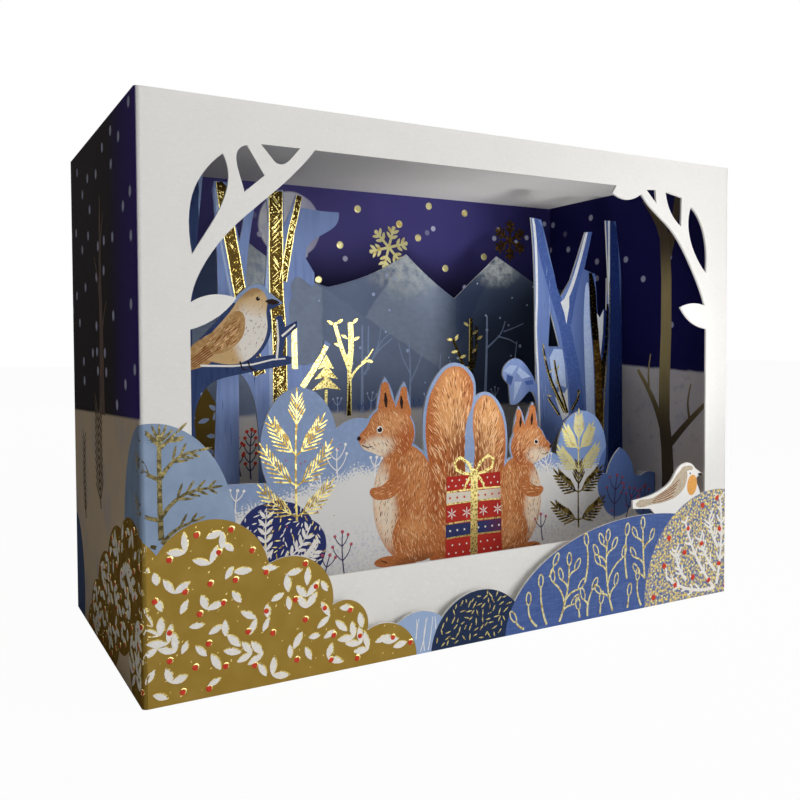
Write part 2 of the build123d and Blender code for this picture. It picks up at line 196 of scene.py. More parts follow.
class Painter:
    """A printed surface: colours laid one over another through masks, on the sheet laid flat.

    turn and shift unfold a side wall, so that its masks are given along it as on the front.
    """

    def __init__(self, name, colour, roughness=0.8, wobble=0.5, wobble_size=4.0, metallic=0.0,
                 turn=0, shift=0.0, sheen=0.1):
        self.material = bpy.data.materials.new(name)
        self.material.use_nodes = True
        self.tree = self.material.node_tree
        self.shader = self.tree.nodes["Principled BSDF"]
        finishes = {"Roughness": roughness, "Metallic": metallic, "Specular IOR Level": sheen}
        for finish, value in finishes.items():
            self.shader.inputs[finish].default_value = value
        self.object_place = self.node("Mapping", {
            "Vector": self.node("TexCoord", out="Object"),
            "Rotation": (0, 0, math.radians(turn)), "Location": (shift * MM, 0, 0)})
        wander = self.noise(wobble_size, detail=3.0, out="Color")
        centred = self.node("VectorMath", {0: wander, 1: (0.5, 0.5, 0.5)}, operation="SUBTRACT")
        drift = self.node("VectorMath", {0: centred, "Scale": 2 * wobble * MM}, operation="SCALE")
        self.place = self.node("VectorMath", {0: self.object_place, 1: drift}, operation="ADD")
        self.colour = screen(*colour)

    def node(self, kind, feeds=(), out=0, **settings):
        """Adds a node and gives one of its outputs."""
        return add_node(self.tree, kind, feeds, **settings).outputs[out]

    def math(self, operation, first, second=0.0):
        return self.node("Math", {0: first, 1: second}, operation=operation)

    def ramp(self, value, low, high):
        """0 at low and 1 at high, smooth between; low may be the larger."""
        flip = low > high
        return self.node("MapRange", {
            "Value": value, "From Min": min(low, high), "From Max": max(low, high),
            "To Min": 1.0 if flip else 0.0, "To Max": 0.0 if flip else 1.0}, interpolation_type="SMOOTHSTEP")

    def noise(self, size, detail=2.0, stretch=(1, 1, 1), out="Fac"):
        """Cloudy noise with features about size millimetres across."""
        scale = [1 / (share * size * MM) for share in stretch]
        place = self.node("Mapping", {"Vector": self.object_place, "Scale": scale})
        return self.node("TexNoise", {"Vector": place, "Scale": 1.0, "Detail": detail}, out)

    def seated(self, x, z, width, height, turn):
        """The place on the card as seen from a point, turned and measured in widths and heights."""
        return self.node("Mapping", {
            "Vector": self.place, "Location": (x * MM, 0, z * MM), "Rotation": (0, -math.radians(turn), 0),
            "Scale": (width * MM, NO_DEPTH, height * MM)}, vector_type="TEXTURE")

    def oval(self, x, z, half_width, half_height, turn=0.0, soft=0.2):
        """A mask that is 1 inside an oval; soft is the share of its size over which it fades."""
        seat = self.seated(x, z, half_width, half_height, turn)
        reach = self.node("VectorMath", {0: seat}, "Value", operation="LENGTH")
        return self.ramp(reach, 1 + soft / 2, 1 - soft / 2)

    def axis(self, place, axis):
        return self.node("SeparateXYZ", {0: place}, axis)

    def above(self, x, z, slope=0.0, soft=0.5, speckle=0.0):
        """A mask that is 1 above a line through a point; speckle makes its edge a spray of dots."""
        height = self.axis(self.seated(x, z, 1.0, 1.0, slope), "Z")
        if speckle:
            spray = self.math("SUBTRACT", self.noise(0.5, detail=1.0), 0.5)
            height = self.math("ADD", height, self.math("MULTIPLY", spray, speckle))
        return self.ramp(height, -soft, soft)

    def below(self, *line, **how):
        return self.outside(self.above(*line, **how))

    def right_of(self, x, soft=0.5):
        """A mask that is 1 past a place along the sheet, in millimetres."""
        return self.ramp(self.axis(self.place, "X"), (x - soft) * MM, (x + soft) * MM)

    def left_of(self, x, soft=0.5):
        return self.outside(self.right_of(x, soft))

    def spots(self, size, share, soft=0.06, detail=1.0, stretch=(1, 1, 1)):
        """A mask of irregular spots that cover about a share of the surface."""
        level = 0.5 + (0.5 - share) * 0.55
        return self.ramp(self.noise(size, detail, stretch), level - soft, level + soft)

    def both(self, first, second):
        return self.math("MULTIPLY", first, second)

    def outside(self, mask):
        return self.math("SUBTRACT", 1.0, mask)

    def less(self, first, second):
        """First without second."""
        return self.both(first, self.outside(second))

    def lay(self, colour, mask, strength=1.0):
        """Lays a colour over what is there, where the mask says."""
        share = self.both(mask, strength) if strength != 1.0 else mask
        self.colour = self.node("Mix", {"Factor": share, "A": self.colour, "B": screen(*colour)}, "Result",
                                data_type="RGBA")

    def mottle(self, size, amount, stretch=(1, 1, 1), detail=3.0):
        """Lightens and darkens what is there in patches, as watercolour dries."""
        tone = self.math("ADD", self.both(self.noise(size, detail, stretch), 2 * amount), 1 - amount)
        self.colour = self.node("VectorMath", {0: self.colour, "Scale": tone}, operation="SCALE")

    def finish(self, grain=0.35, relief=0.012, relief_size=0.35):
        """Joins the colour to the shader, with the fine tooth of the paper as bump."""
        tooth = self.node("Bump", {"Strength": grain, "Distance": relief * MM,
                                   "Height": self.noise(relief_size, detail=4.0)}, "Normal")
        self.tree.links.new(tooth, self.shader.inputs["Normal"])
        self.tree.links.new(self.colour, self.shader.inputs["Base Color"])
        return self.material


# %% [markdown]
# ## Bare board
#
# The card is cut from uncoated white board with a faint fibre, so the bars of the window are not a
# clean white: short grey flecks and a slow, cloudy tone show on them. All four sheets have it, and
# it is what shows at every cut edge.


# %% The board's material
def board_paint(name, **how):
    """Uncoated board: a slow cloudy tone, and faint short flecks of fibre, dark and light."""
    sheet = Painter(name, (238, 236, 232), **how)
    sheet.mottle(9.0, 0.02)
    sheet.lay((226, 222, 214), sheet.spots(0.9, 0.22, 0.12, stretch=(1.6, 1, 0.6)), 0.22)
    sheet.lay((249, 248, 245), sheet.spots(0.6, 0.2, 0.1), 0.45)
    return sheet


BOARD_TOOTH = {"grain": 0.35, "relief": 0.015, "relief_size": 0.4}
board_material = board_paint("uncoated_board", roughness=0.85).finish(**BOARD_TOOTH)
for sheet_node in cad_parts.values():
    sheet_node.data.materials.clear()
    sheet_node.data.materials.append(board_material)
print("painted:", board_material.name)

# %% [markdown]
# ## Films of ink
#
# Large areas of print follow the outline of their sheet exactly. The surest way to get that outline
# is to copy the sheet's own face and give it the thickness of a coat of ink with Solidify.


# %% Taking a film from a sheet
INK = 0.02
SAME_POINT = 1e-7


def edit_all():
    """Opens the active piece in edit mode with all of it selected."""
    bpy.ops.object.mode_set(mode="EDIT")
    bpy.ops.mesh.select_all(action="SELECT")


def ink_film(name, sheet, chosen, material):
    """A film of ink over the faces of a sheet that chosen(centre in mm, normal) picks."""
    film = into_scene(bpy.data.objects.new(name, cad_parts[sheet].data.copy()))
    edit_all()
    bpy.ops.mesh.remove_doubles(threshold=SAME_POINT)
    bpy.ops.mesh.select_all(action="DESELECT")
    mesh = bmesh.from_edit_mesh(film.data)
    bpy.ops.mesh.select_mode(type="FACE")
    for face in mesh.faces:
        face.select_set(not chosen(face.calc_center_median() / MM, face.normal))
    bmesh.update_edit_mesh(film.data)
    bpy.ops.mesh.delete(type="FACE")
    bpy.ops.object.mode_set(mode="OBJECT")
    coat = film.modifiers.new("coat", "SOLIDIFY")
    coat.thickness = INK * MM
    coat.offset = 1.0
    bpy.ops.object.modifier_apply(modifier="coat")
    film.data.materials.clear()
    film.data.materials.append(material)
    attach(film, "root")
    print(name, "faces:", len(film.data.polygons))


def front_film(name, sheet, depth, material):
    """A film over the front of a sheet that faces the window at a depth."""
    ink_film(name, sheet, lambda centre, normal: normal.y < -0.7 and centre.y < depth + 0.4, material)


# %% [markdown]
# ## Drawing flat, then laying on
#
# Leaves, needles, dots and twigs are printed in the hundreds. A printer draws them flat and folds
# the sheet afterwards, and that is the easiest way here too: each drawing is made on a flat plate,
# in millimetres along and up the sheet, and then every point is laid on its surface. A drawing that
# crosses the crease at the card's corner then bends round it by itself.


# %% Surfaces to lay a plate on
def facing_front(depth):
    """A surface that faces the front of the card, at a depth."""
    return lambda along, up, proud: (along, depth - proud, up)


on_front, on_branch, on_trees, on_mountains, on_night = (
    facing_front(depth)
    for depth in (front_face, branch_face, tree_face, mountain_face, back_face - board - INK))


def round_outside(along, up, proud):
    """The outside of the sleeve, unfolded: past a front corner it goes round onto that side."""
    side = -1 if along < 0 else 1
    past = abs(along) - (card_width / 2 - crease_radius)
    if past <= 0:
        return (along, front_face - proud, up)
    bend = min(past / crease_radius, math.pi / 2)
    reach = crease_radius + proud
    x = card_width / 2 - crease_radius + reach * math.sin(bend)
    y = front_face + crease_radius - reach * math.cos(bend)
    return (side * x, y + max(0.0, past - crease_radius * math.pi / 2), up)


def inside_right(along, up, proud):
    """The inner face of the right-hand side; along is the depth in the card, with its sign turned."""
    return (right_face - board - proud, -along, up)


# %% [markdown]
# ## Dies
#
# What repeats is modelled once. A leaf, a berry or a length of ribbon starts as a primitive, is
# shaped and given its thickness in edit mode, and is then kept as a die that is stamped wherever it
# is wanted. A die lies along X, is one unit long, and has its foot at 0 and its top at 1.


# %% Cutting dies
MIDDLE = (0.5, 0, 0)


def cut_die(thick=True):
    """Gives the active flat shape its thickness, and keeps it as a die: its points and its faces."""
    piece = bpy.context.object
    edit_all()
    if thick:
        bpy.ops.mesh.extrude_region_move(TRANSFORM_OT_translate={"value": (0, 0, 1)})
        bpy.ops.mesh.select_all(action="SELECT")
    bpy.ops.mesh.normals_make_consistent(inside=False)
    bpy.ops.object.mode_set(mode="OBJECT")
    points = [tuple(piece.matrix_world @ vertex.co) for vertex in piece.data.vertices]
    faces = [tuple(face.vertices) for face in piece.data.polygons]
    bpy.data.objects.remove(piece)
    return points, faces


def slim_disc(points_round, slim):
    """A filled circle, one unit long, slimmed across and left open in edit mode."""
    bpy.ops.mesh.primitive_circle_add(vertices=points_round, radius=0.5, fill_type="NGON", location=MIDDLE)
    bpy.ops.object.transform_apply(location=True)
    bpy.ops.object.mode_set(mode="EDIT")
    bpy.ops.transform.resize(value=(1, slim, 1), center_override=MIDDLE)


def oval_die(points_round=12, slim=0.42, pointed=0.5):
    """A leaf from a slim disc, with its sides drawn in towards both ends."""
    slim_disc(points_round, slim)
    bpy.ops.object.mode_set(mode="OBJECT")
    for vertex in bpy.context.object.data.vertices:
        to_end = abs(vertex.co.x - 0.5) * 2
        vertex.co.y *= 1 - pointed * to_end ** 2
    return cut_die()


def ring_die():
    """An outlined leaf: a slim disc, inset, and its middle taken out."""
    slim_disc(14, 0.5)
    bpy.ops.mesh.select_mode(type="FACE")
    bpy.ops.mesh.select_all(action="SELECT")
    bpy.ops.mesh.inset(thickness=0.1)
    bpy.ops.mesh.delete(type="FACE")
    bpy.ops.object.mode_set(mode="OBJECT")
    return cut_die()


def dot_die(points_round):
    """A round dot, one unit across, with its top edge softened."""
    bpy.ops.mesh.primitive_cylinder_add(vertices=points_round, radius=0.5, depth=1, location=(0, 0, 0.5))
    bpy.ops.object.transform_apply(location=True)
    for vertex in bpy.context.object.data.vertices:
        if vertex.co.z > 0.5:
            vertex.co.x *= 0.7
            vertex.co.y *= 0.7
    return cut_die(thick=False)


# %% Ribbons and filled outlines
ribbon_dies = {}


def ribbon_die(lengths):
    """A straight ribbon, one unit long and wide, that can bend at as many places as it has lengths."""
    if lengths not in ribbon_dies:
        bpy.ops.mesh.primitive_grid_add(x_subdivisions=lengths, y_subdivisions=1, size=1, location=MIDDLE)
        bpy.ops.object.transform_apply(location=True)
        ribbon_dies[lengths] = cut_die()
    return ribbon_dies[lengths]


def outline_die(outline, smooth=True):
    """A filled outline, drawn as a closed curve through the points and made a mesh."""
    drawing = bpy.data.curves.new("outline", "CURVE")
    drawing.dimensions = "2D"
    drawing.fill_mode = "BOTH"
    drawing.resolution_u = 4
    spline = drawing.splines.new("BEZIER")
    spline.bezier_points.add(len(outline) - 1)
    for point, (x, y) in zip(spline.bezier_points, outline):
        point.co = (x, y, 0)
        point.handle_left_type = point.handle_right_type = "AUTO" if smooth else "VECTOR"
    spline.use_cyclic_u = True
    into_scene(bpy.data.objects.new("outline", drawing))
    bpy.ops.object.convert(target="MESH")
    edit_all()
    bpy.ops.mesh.remove_doubles(threshold=1e-4)
    bpy.ops.object.mode_set(mode="OBJECT")
    return cut_die()


# %% The dies
leaf_die = oval_die(pointed=0.55)
needle_die = oval_die(points_round=6, slim=0.2, pointed=0.5)
stick_die = oval_die(points_round=8, slim=0.2, pointed=0.1)
ring_leaf_die = ring_die()
berry_die = dot_die(10)
speck_die = dot_die(5)
print("dies:", len(leaf_die[0]), len(ring_leaf_die[0]), len(berry_die[0]), "points")


# %% Directions and paths
def turned(place, angle, reach):
    """The point that lies a reach from a place, in a direction given in degrees."""
    turn = math.radians(angle)
    return (place[0] + reach * math.cos(turn), place[1] + reach * math.sin(turn))


def heading(path, step):
    """The direction of a path at one of its points, in degrees."""
    before, after = path[max(step - 1, 0)], path[min(step + 1, len(path) - 1)]
    return math.degrees(math.atan2(after[1] - before[1], after[0] - before[0]))


def between(start, end, share):
    """The point a share of the way from one place to another."""
    return (start[0] + (end[0] - start[0]) * share, start[1] + (end[1] - start[1]) * share)


def arc(start, end, bulge=0.0, lengths=6):
    """Points from start to end along a bow; bulge is its height to the left, as a share of its length."""
    ds, dz = end[0] - start[0], end[1] - start[1]
    points = []
    for i in range(lengths + 1):
        s, z = between(start, end, i / lengths)
        lift = 4 * i / lengths * (1 - i / lengths) * bulge
        points.append((s - dz * lift, z + ds * lift))
    return points


def along_path(points, lengths=12):
    """Points at even steps along a path through a few places, rounded at its corners."""
    fine = []
    for i in range(lengths + 1):
        t = i / lengths * (len(points) - 1)
        k = min(int(t), len(points) - 2)
        u = t - k
        p0, p1, p2, p3 = points[max(k - 1, 0)], points[k], points[k + 1], points[min(k + 2, len(points) - 1)]
        fine.append(tuple(
            0.5 * (2 * p1[c] + (p2[c] - p0[c]) * u + (2 * p0[c] - 5 * p1[c] + 4 * p2[c] - p3[c]) * u * u
                   + (3 * p1[c] - p0[c] - 3 * p2[c] + p3[c]) * u ** 3)
            for c in (0, 1)))
    return fine


# %% The plate
LIFTS, LIFT = 12, 0.0008  # steps, and millimetres a step, that keep crossing shapes out of one plane


class Plate:
    """Shapes drawn flat, in millimetres, each a closed sliver of ink or foil of its own height.

    With a sheet's name, stamps that would hang over its cut edge are left out, and strokes are
    trimmed there, as a printed sheet bleeds past the line that the die will cut.
    """

    def __init__(self, top=0.05, foot=-0.01, sheet=None):
        self.points = []
        self.faces = []
        self.top = top
        self.foot = foot
        self.sheet = sheet
        self.shapes = 0

    def on_sheet(self, s, z):
        """True where the sheet's front face is, found by looking at it from the front."""
        start = Vector((s, front_face - 5, z)) * MM
        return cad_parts[self.sheet].ray_cast(start, Vector((0, 1, 0)), distance=200 * MM)[0]

    def add(self, points, faces, top=None):
        """Adds points as (along, up, share of the height), each shape a hair above the last."""
        self.shapes = (self.shapes + 1) % LIFTS
        top = (self.top if top is None else top) + self.shapes * LIFT
        base = len(self.points)
        self.points.extend((s, z, self.foot + (top - self.foot) * h) for s, z, h in points)
        self.faces.extend(tuple(base + i for i in face) for face in faces)

    def stamp(self, die, s, z, turn=0.0, length=1.0, width=None, top=None):
        """A copy of a die, turned anticlockwise by degrees, and scaled along and across itself."""
        width = length if width is None else width
        cos, sin = math.cos(math.radians(turn)), math.sin(math.radians(turn))
        points = [
            (s + x * length * cos - y * width * sin, z + x * length * sin + y * width * cos, h)
            for x, y, h in die[0]
        ]
        if not self.sheet or all(self.on_sheet(*point[:2]) for point in points[::3]):
            self.add(points, die[1], top)

    def dot(self, s, z, size, top=None):
        self.stamp(berry_die, s, z, 0, size, top=top)

    def patch(self, outline, smooth=True):
        """A filled outline, drawn in to the cut edge of the sheet where it would pass it."""
        middle = [sum(place[axis] for place in outline) / len(outline) for axis in (0, 1)]
        if self.sheet and self.on_sheet(*middle):
            outline = [self.trimmed(middle, place) for place in outline]
        self.add(*outline_die(outline, smooth))

    def facets(self, *outlines):
        """Patches with straight edges."""
        for outline in outlines:
            self.patch(outline, smooth=False)

    def trimmed(self, inner, outer):
        """Where a line from a place on the sheet to another meets the cut edge, if it does."""
        if self.on_sheet(*outer):
            return outer
        for _ in range(7):
            middle = ((inner[0] + outer[0]) / 2, (inner[1] + outer[1]) / 2)
            if self.on_sheet(*middle):
                inner = middle
            else:
                outer = middle
        return inner

    def trimmed_path(self, path):
        """The stretch of a path that lies on the sheet, carried on to the cut edge at both ends."""
        inside = [step for step, place in enumerate(path) if self.on_sheet(*place)]
        first, last = inside[0], inside[-1]
        kept = list(path[first:last + 1])
        if first > 0:
            kept.insert(0, self.trimmed(path[first], path[first - 1]))
        if last < len(path) - 1:
            kept.append(self.trimmed(path[last], path[last + 1]))
        return kept

    def stroke(self, path, start_width, end_width=None, top=None):
        """A ribbon bent along a path of points, with a width that changes along it."""
        end_width = start_width if end_width is None else end_width
        if self.sheet:
            path = self.trimmed_path(path)
        lengths = len(path) - 1
        points, faces = ribbon_die(lengths)
        bent = []
        for x, y, h in points:
            step = min(round(x * lengths), lengths)
            before, after = path[max(step - 1, 0)], path[min(step + 1, lengths)]
            ds, dz = after[0] - before[0], after[1] - before[1]
            across = y * (start_width + (end_width - start_width) * x) / (math.hypot(ds, dz) or 1.0)
            place = (path[step][0] - dz * across, path[step][1] + ds * across)
            bent.append((*(self.trimmed(path[step], place) if self.sheet else place), h))
        self.add(bent, faces, top)

    def strokes(self, lengths, *branches):
        """Several strokes, each given by its width at either end and the places that it passes."""
        for start_width, end_width, *places in branches:
            self.stroke(along_path(places, lengths), start_width, end_width)

    def lay(self, name, surface, material):
        """Makes the piece: every point of the drawing goes to its place on the card."""
        mesh = bpy.data.meshes.new(name)
        mesh.from_pydata([Vector(surface(*point)) * MM for point in self.points], [], self.faces)
        mesh.materials.append(material)
        piece = into_scene(bpy.data.objects.new(name, mesh))
        edit_all()
        bpy.ops.mesh.normals_make_consistent(inside=False)
        bpy.ops.object.mode_set(mode="OBJECT")
        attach(piece, "root")
        print(name, "faces:", len(mesh.polygons))


def lay_all(surface, *plates):
    """Lays several plates on one surface; each is given with its piece's name and its material."""
    for plate, name, material in plates:
        plate.lay(name, surface, material)

# %% [markdown]
# ## The printed night
#
# The whole inside of the sleeve is one picture: a violet night with a moon over the back, and the
# same sky running round onto both side walls, where it meets snow. The outside of the sides carries
# the same night. Each is a film over the wall's own face, painted with a few broad masks.


# %% Night walls
VIOLET_NIGHT = (92, 86, 150)
DEEP_NIGHT = (30, 28, 88)
SNOW = (214, 208, 202)


def snowfall(paint, mask, strength=0.9, spacing=11.0, flake=1.0):
    """Small soft flakes, scattered by the cells of a Voronoi pattern, some cells left empty."""
    across, up = (paint.axis(paint.object_place, axis) for axis in "XZ")
    cells = add_node(paint.tree, "TexVoronoi", {
        "Scale": 1 / (spacing * MM), "Vector": paint.node("CombineXYZ", {"X": across, "Y": up})},
        voronoi_dimensions="2D").outputs
    near = paint.ramp(cells["Distance"], flake / spacing, 0.55 * flake / spacing)
    kept = paint.ramp(paint.axis(cells["Color"], "X"), 0.45, 0.48)
    paint.lay((206, 208, 232), paint.both(paint.both(near, kept), mask), strength)


def snow_ground(paint, ground, tone=SNOW):
    """Snow where the mask says, with a faint lilac cloud in it."""
    paint.lay(tone, ground)
    paint.lay((172, 174, 204), paint.both(ground, paint.spots(9.0, 0.25, 0.25, detail=4.0)), 0.45)


# %% Skies on the inner walls
back_sky = Painter("back_wall_ink", VIOLET_NIGHT, wobble=0.25)
back_sky.lay((62, 58, 120), back_sky.right_of(12, soft=60), 0.9)
back_sky.lay(DEEP_NIGHT, back_sky.right_of(60, soft=30), 0.8)
# Nearly black below 88 mm up on the back wall: painted shade.
back_sky.lay((6, 8, 30), back_sky.below(0, 88, soft=10), 0.95)
back_sky.mottle(14.0, 0.16)
moon = back_sky.oval(-17.5, 98.4, 9.2, 9.2, soft=0.07)
back_sky.lay((250, 250, 255), moon, 0.98)
back_sky.lay((150, 146, 196), back_sky.both(moon, back_sky.right_of(-14, soft=7)), 0.8)
back_sky.lay((190, 190, 220), back_sky.both(moon, back_sky.spots(3.2, 0.35, 0.2, detail=4.0)), 0.5)
snowfall(back_sky, back_sky.above(0, 60))
snow_ground(back_sky, back_sky.below(0, 44, soft=0.8))
back_material = back_sky.finish(grain=0.3)

# This wall's sky is printed darker than the back wall's and its flakes are fainter: painted shade, for the
# same print in shadow.
right_sky = Painter("right_wall_ink", (22, 20, 76), turn=90, wobble=0.6)
right_sky.mottle(12.0, 0.15)
snowfall(right_sky, right_sky.above(0, 62), strength=0.6, flake=1.15)
snow_ground(right_sky, right_sky.below(0, 58.6, slope=-3, soft=0.5))
right_sky.lay((150, 150, 176), right_sky.both(
    right_sky.below(0, 57, soft=2), right_sky.spots(2.6, 0.2, 0.1, detail=4.0)), 0.4)
right_wall_material = right_sky.finish(grain=0.3)

left_sky = Painter("left_wall_ink", (52, 46, 116), turn=-90, wobble=0.6)
left_sky.mottle(12.0, 0.15)
snowfall(left_sky, left_sky.above(0, 62))
snow_ground(left_sky, left_sky.below(0, 58.0, slope=2, soft=0.5))
left_wall_material = left_sky.finish(grain=0.3)


# %% Films on the inner walls
def on_inner_wall(outwards, reach):
    """A test for an inner wall of the sleeve: it faces inwards and lies out at the wall."""
    outwards = Vector(outwards)

    def chosen(centre, normal):
        at_wall = normal.dot(outwards) < -0.5 and centre.dot(outwards) > reach
        return at_wall and 1.0 < centre.z < sleeve_high.z - 0.6

    return chosen


for wall, outwards, reach, material in (
    ("back", (0, 1, 0), back_face - 1.2, back_material),
    ("right", (1, 0, 0), right_face - 0.7, right_wall_material),
    ("left", (-1, 0, 0), -left_face - 0.7, left_wall_material),
):
    ink_film(wall + "_wall_print", "card_sleeve", on_inner_wall(outwards, reach), material)

# %% [markdown]
# ## Bushes round the foot of the card
#
# Along the foot of the front stand six rounded bushes in flat inks, and the outer ones run round the
# corners onto the sides. Their tops are the edge of the window itself, so the ovals here are the ones
# that the sheet was cut by, and the left-hand ones carry on along the unfolded side.

# %% Ovals of the bushes: place along the unfolded sheet, height, half width, half height
blue_ovals = [(left_face + 2, 30, 15.4, 21)]
gold_ovals = [
    (left_face + 12.5, 21.5, 11.4, 11.4),
    (left_face + 28, 15, 9.2, 9.2),
    (left_face + 39.5, 8.6, 5.4, 5.4),
    (left_face + 48.3, 0, 7.9, 7.9),
    (left_face + 20, 4, 20, 11),
    (left_face + 2, 8, 13, 14),
    (left_face + 38, 0, 10, 6.5),
    (left_face - 8, 20, 13, 13),
    (left_face - 19, 17, 12.5, 12.5),
    (left_face - 31, 10, 12, 12),
    (left_face - 42, 4, 9.5, 9.5),
    (left_face - 50, 0, 6, 6),
]
pale_ovals = [(-18, 0.4, 8.6, 8.6)]
navy_ovals = [(-2.6, -1.3, 12.7, 12.7)]
royal_ovals = [(right_face - 29, -1, 42, 24)]
speckled_ovals = [(right_face - 4, 1, 25, 26.2)]


def within(ovals, along, up, inset=0.0):
    """True inside any oval, and at least inset millimetres in from its edge, roughly."""
    for x, z, half_width, half_height in ovals:
        reach = math.hypot((along - x) / half_width, (up - z) / half_height)
        if (1 - reach) * min(half_width, half_height) >= inset:
            return True
    return False


def oval_mask(paint, ovals, soft_mm=0.05):
    """One mask for a whole bush."""
    mask = None
    for x, z, half_width, half_height in ovals:
        oval = paint.oval(x, z, half_width, half_height, soft=soft_mm / min(half_width, half_height))
        mask = oval if mask is None else paint.math("MAXIMUM", mask, oval)
    return mask


# %% How the bushes are printed
GOLD_INK = (158, 128, 52)
# The gold of the bushes on the sides is darker than on the front: painted shade.
SHADED_SIDE_GOLD = (124, 90, 24)
PALE_BLUE = (136, 156, 184)
ROYAL_BLUE = (76, 100, 161)
NAVY = (36, 50, 80)


def print_bushes(paint, gold=GOLD_INK):
    """The bushes of the unfolded outside, back to front."""
    paint.lay(PALE_BLUE, oval_mask(paint, blue_ovals))
    blue_tone = paint.both(oval_mask(paint, blue_ovals), paint.spots(5.0, 0.4, 0.25, detail=4.0))
    paint.lay((164, 182, 206), blue_tone, 0.6)
    paint.lay((158, 180, 214), oval_mask(paint, pale_ovals))
    paint.lay(NAVY, oval_mask(paint, navy_ovals))
    golden = oval_mask(paint, gold_ovals)
    paint.lay(gold, golden)
    paint.lay((186, 158, 84), paint.both(golden, paint.spots(4.0, 0.3, 0.3, detail=5.0)), 0.4)
    royal = oval_mask(paint, royal_ovals)
    linen = paint.spots(0.32, 0.5, 0.3, stretch=(1, 1, 9))
    paint.lay(ROYAL_BLUE, royal)
    paint.lay((60, 80, 132), paint.both(royal, linen), 0.55)
    paint.lay((112, 136, 184), paint.both(royal, paint.spots(0.32, 0.3, 0.3, stretch=(9, 1, 1))), 0.4)
    speckled = oval_mask(paint, speckled_ovals)
    paint.lay((104, 122, 166), speckled)
    paint.lay((234, 206, 116), paint.both(speckled, paint.spots(0.75, 0.46, 0.1, detail=2.0)), 0.95)
    paint.lay((236, 236, 236), paint.both(speckled, paint.spots(1.1, 0.10, 0.1, detail=3.0)), 0.85)
    paint.lay((84, 102, 156), paint.both(speckled, paint.spots(1.9, 0.24, 0.1, detail=3.0)), 0.85)


# %% The outside of the sleeve
front = board_paint("front_ink", wobble=0.0, roughness=0.7)
print_bushes(front)
front_material = front.finish(**BOARD_TOOTH)

# The left side's sky is painted near black for the shade on that side; its own violet is kept only near the
# front crease.
left = Painter("left_side_ink", (20, 12, 14), turn=90, shift=left_face + front_face, wobble=0.0, sheen=0.02)
left.mottle(16.0, 0.2)
left.lay((62, 46, 116), left.right_of(left_face - 13, soft=13), 0.85)
snowfall(left, left.above(left_face, 52), spacing=8.5, flake=1.25)
snow_ground(left, left.below(left_face - 36, 50.5, slope=2.0, soft=0.35), tone=(224, 200, 166))
left.lay((70, 84, 116), oval_mask(left, [(left_face - 72, 6, 12, 18)]))
print_bushes(left, SHADED_SIDE_GOLD)
left_material = left.finish(grain=0.4)

right = Painter("right_side_ink", (66, 58, 122), turn=-90, shift=right_face - front_face, wobble=0.0)
right.mottle(16.0, 0.2)
snowfall(right, right.above(right_face, 52), spacing=8.5, flake=1.25)
snow_ground(right, right.below(right_face + 36, 50.5, slope=-2.0, soft=0.35))
right.lay(PALE_BLUE, oval_mask(right, [(right_face + 56, 8, 17, 20), (right_face + 72, 6, 12, 14)]))
print_bushes(right, SHADED_SIDE_GOLD)
right_material = right.finish(grain=0.4)

front_film("front_print", "card_sleeve", front_face, front_material)
ink_film("left_side_print", "card_sleeve",
         lambda centre, normal: normal.x < -0.7 and centre.x < left_face + 0.6, left_material)
ink_film("right_side_print", "card_sleeve",
         lambda centre, normal: normal.x > 0.7 and centre.x > right_face - 0.6, right_material)

# %% [markdown]
# ## Mountains, trees and the hill
#
# Each layer is printed edge to edge. The mountains are slate blue with a spray of snow on every
# peak, the trees a chalky blue with paler bark, and the hill in front fades from blue into snow
# through a spatter. One painter per layer does it, and the foil and the animals come on top.

# %% Mountains
peaks = Painter("mountain_ink", (148, 162, 186), wobble=0.7)
peaks.mottle(10.0, 0.16, stretch=(1, 1, 1.6), detail=5.0)
peaks.mottle(1.4, 0.16, stretch=(1.5, 1, 1), detail=5.0)

shaded = peaks.both(peaks.right_of(-13, soft=0.3), peaks.below(-13, 80.5, slope=-31, soft=0.25))
peaks.lay((108, 122, 156), shaded, 0.55)
for x, z, slope, low, high, tone in ((13.7, 91.5, 54, -60, 13.7, (96, 110, 146)),
                                     (45.2, 91.5, 62, 30.0, 45.2, (104, 116, 150))):
    flank = peaks.less(peaks.right_of(low, soft=0.3), peaks.right_of(high, soft=0.3))
    peaks.lay(tone, peaks.both(flank, peaks.both(
        peaks.above(x, z, slope, soft=0.4), peaks.above(-13, 80.5, slope=-31, soft=0.3))), 0.6)
# Darker towards the right, by the trees and the right wall: partly the print, partly painted shade.
peaks.lay((30, 44, 72), peaks.both(
    peaks.right_of(26, soft=7), peaks.below(30, 92, soft=14)), 0.9)
# Darker at the far left: painted shade.
peaks.lay((60, 76, 118), peaks.left_of(-54, soft=3), 0.8)
for x, z, half_width, fall, tilt in ((-34, 84, 7, 8, 0), (13.7, 91.5, 12, 11, 10), (44.4, 91.5, 8, 7.5, -6)):
    cap = peaks.oval(x, z, half_width, fall, turn=tilt, soft=0.9)
    peaks.lay((232, 236, 228), peaks.both(peaks.both(
        cap, peaks.spots(0.4, 0.62, 0.2, detail=4.0)), peaks.spots(2.4, 0.5, 0.25)), 0.9)
    peaks.lay((212, 220, 220), peaks.both(cap, peaks.spots(1.3, 0.4, 0.3)), 0.7)
peaks.lay((36, 52, 92), peaks.less(
    peaks.above(0, 72, soft=4), peaks.right_of(-40, soft=0.8)), 0.85)
peaks.lay((66, 80, 116), peaks.below(0, 54, soft=8), 0.5)
snow_ground(peaks, peaks.below(0, 46.5, soft=0.9))
peaks.lay((128, 104, 44), oval_mask(peaks, [(-52, 44, 10, 14)], 0.3))
mountain_material = peaks.finish(grain=0.35)
front_film("mountain_print", "mountain_panel", mountain_face, mountain_material)

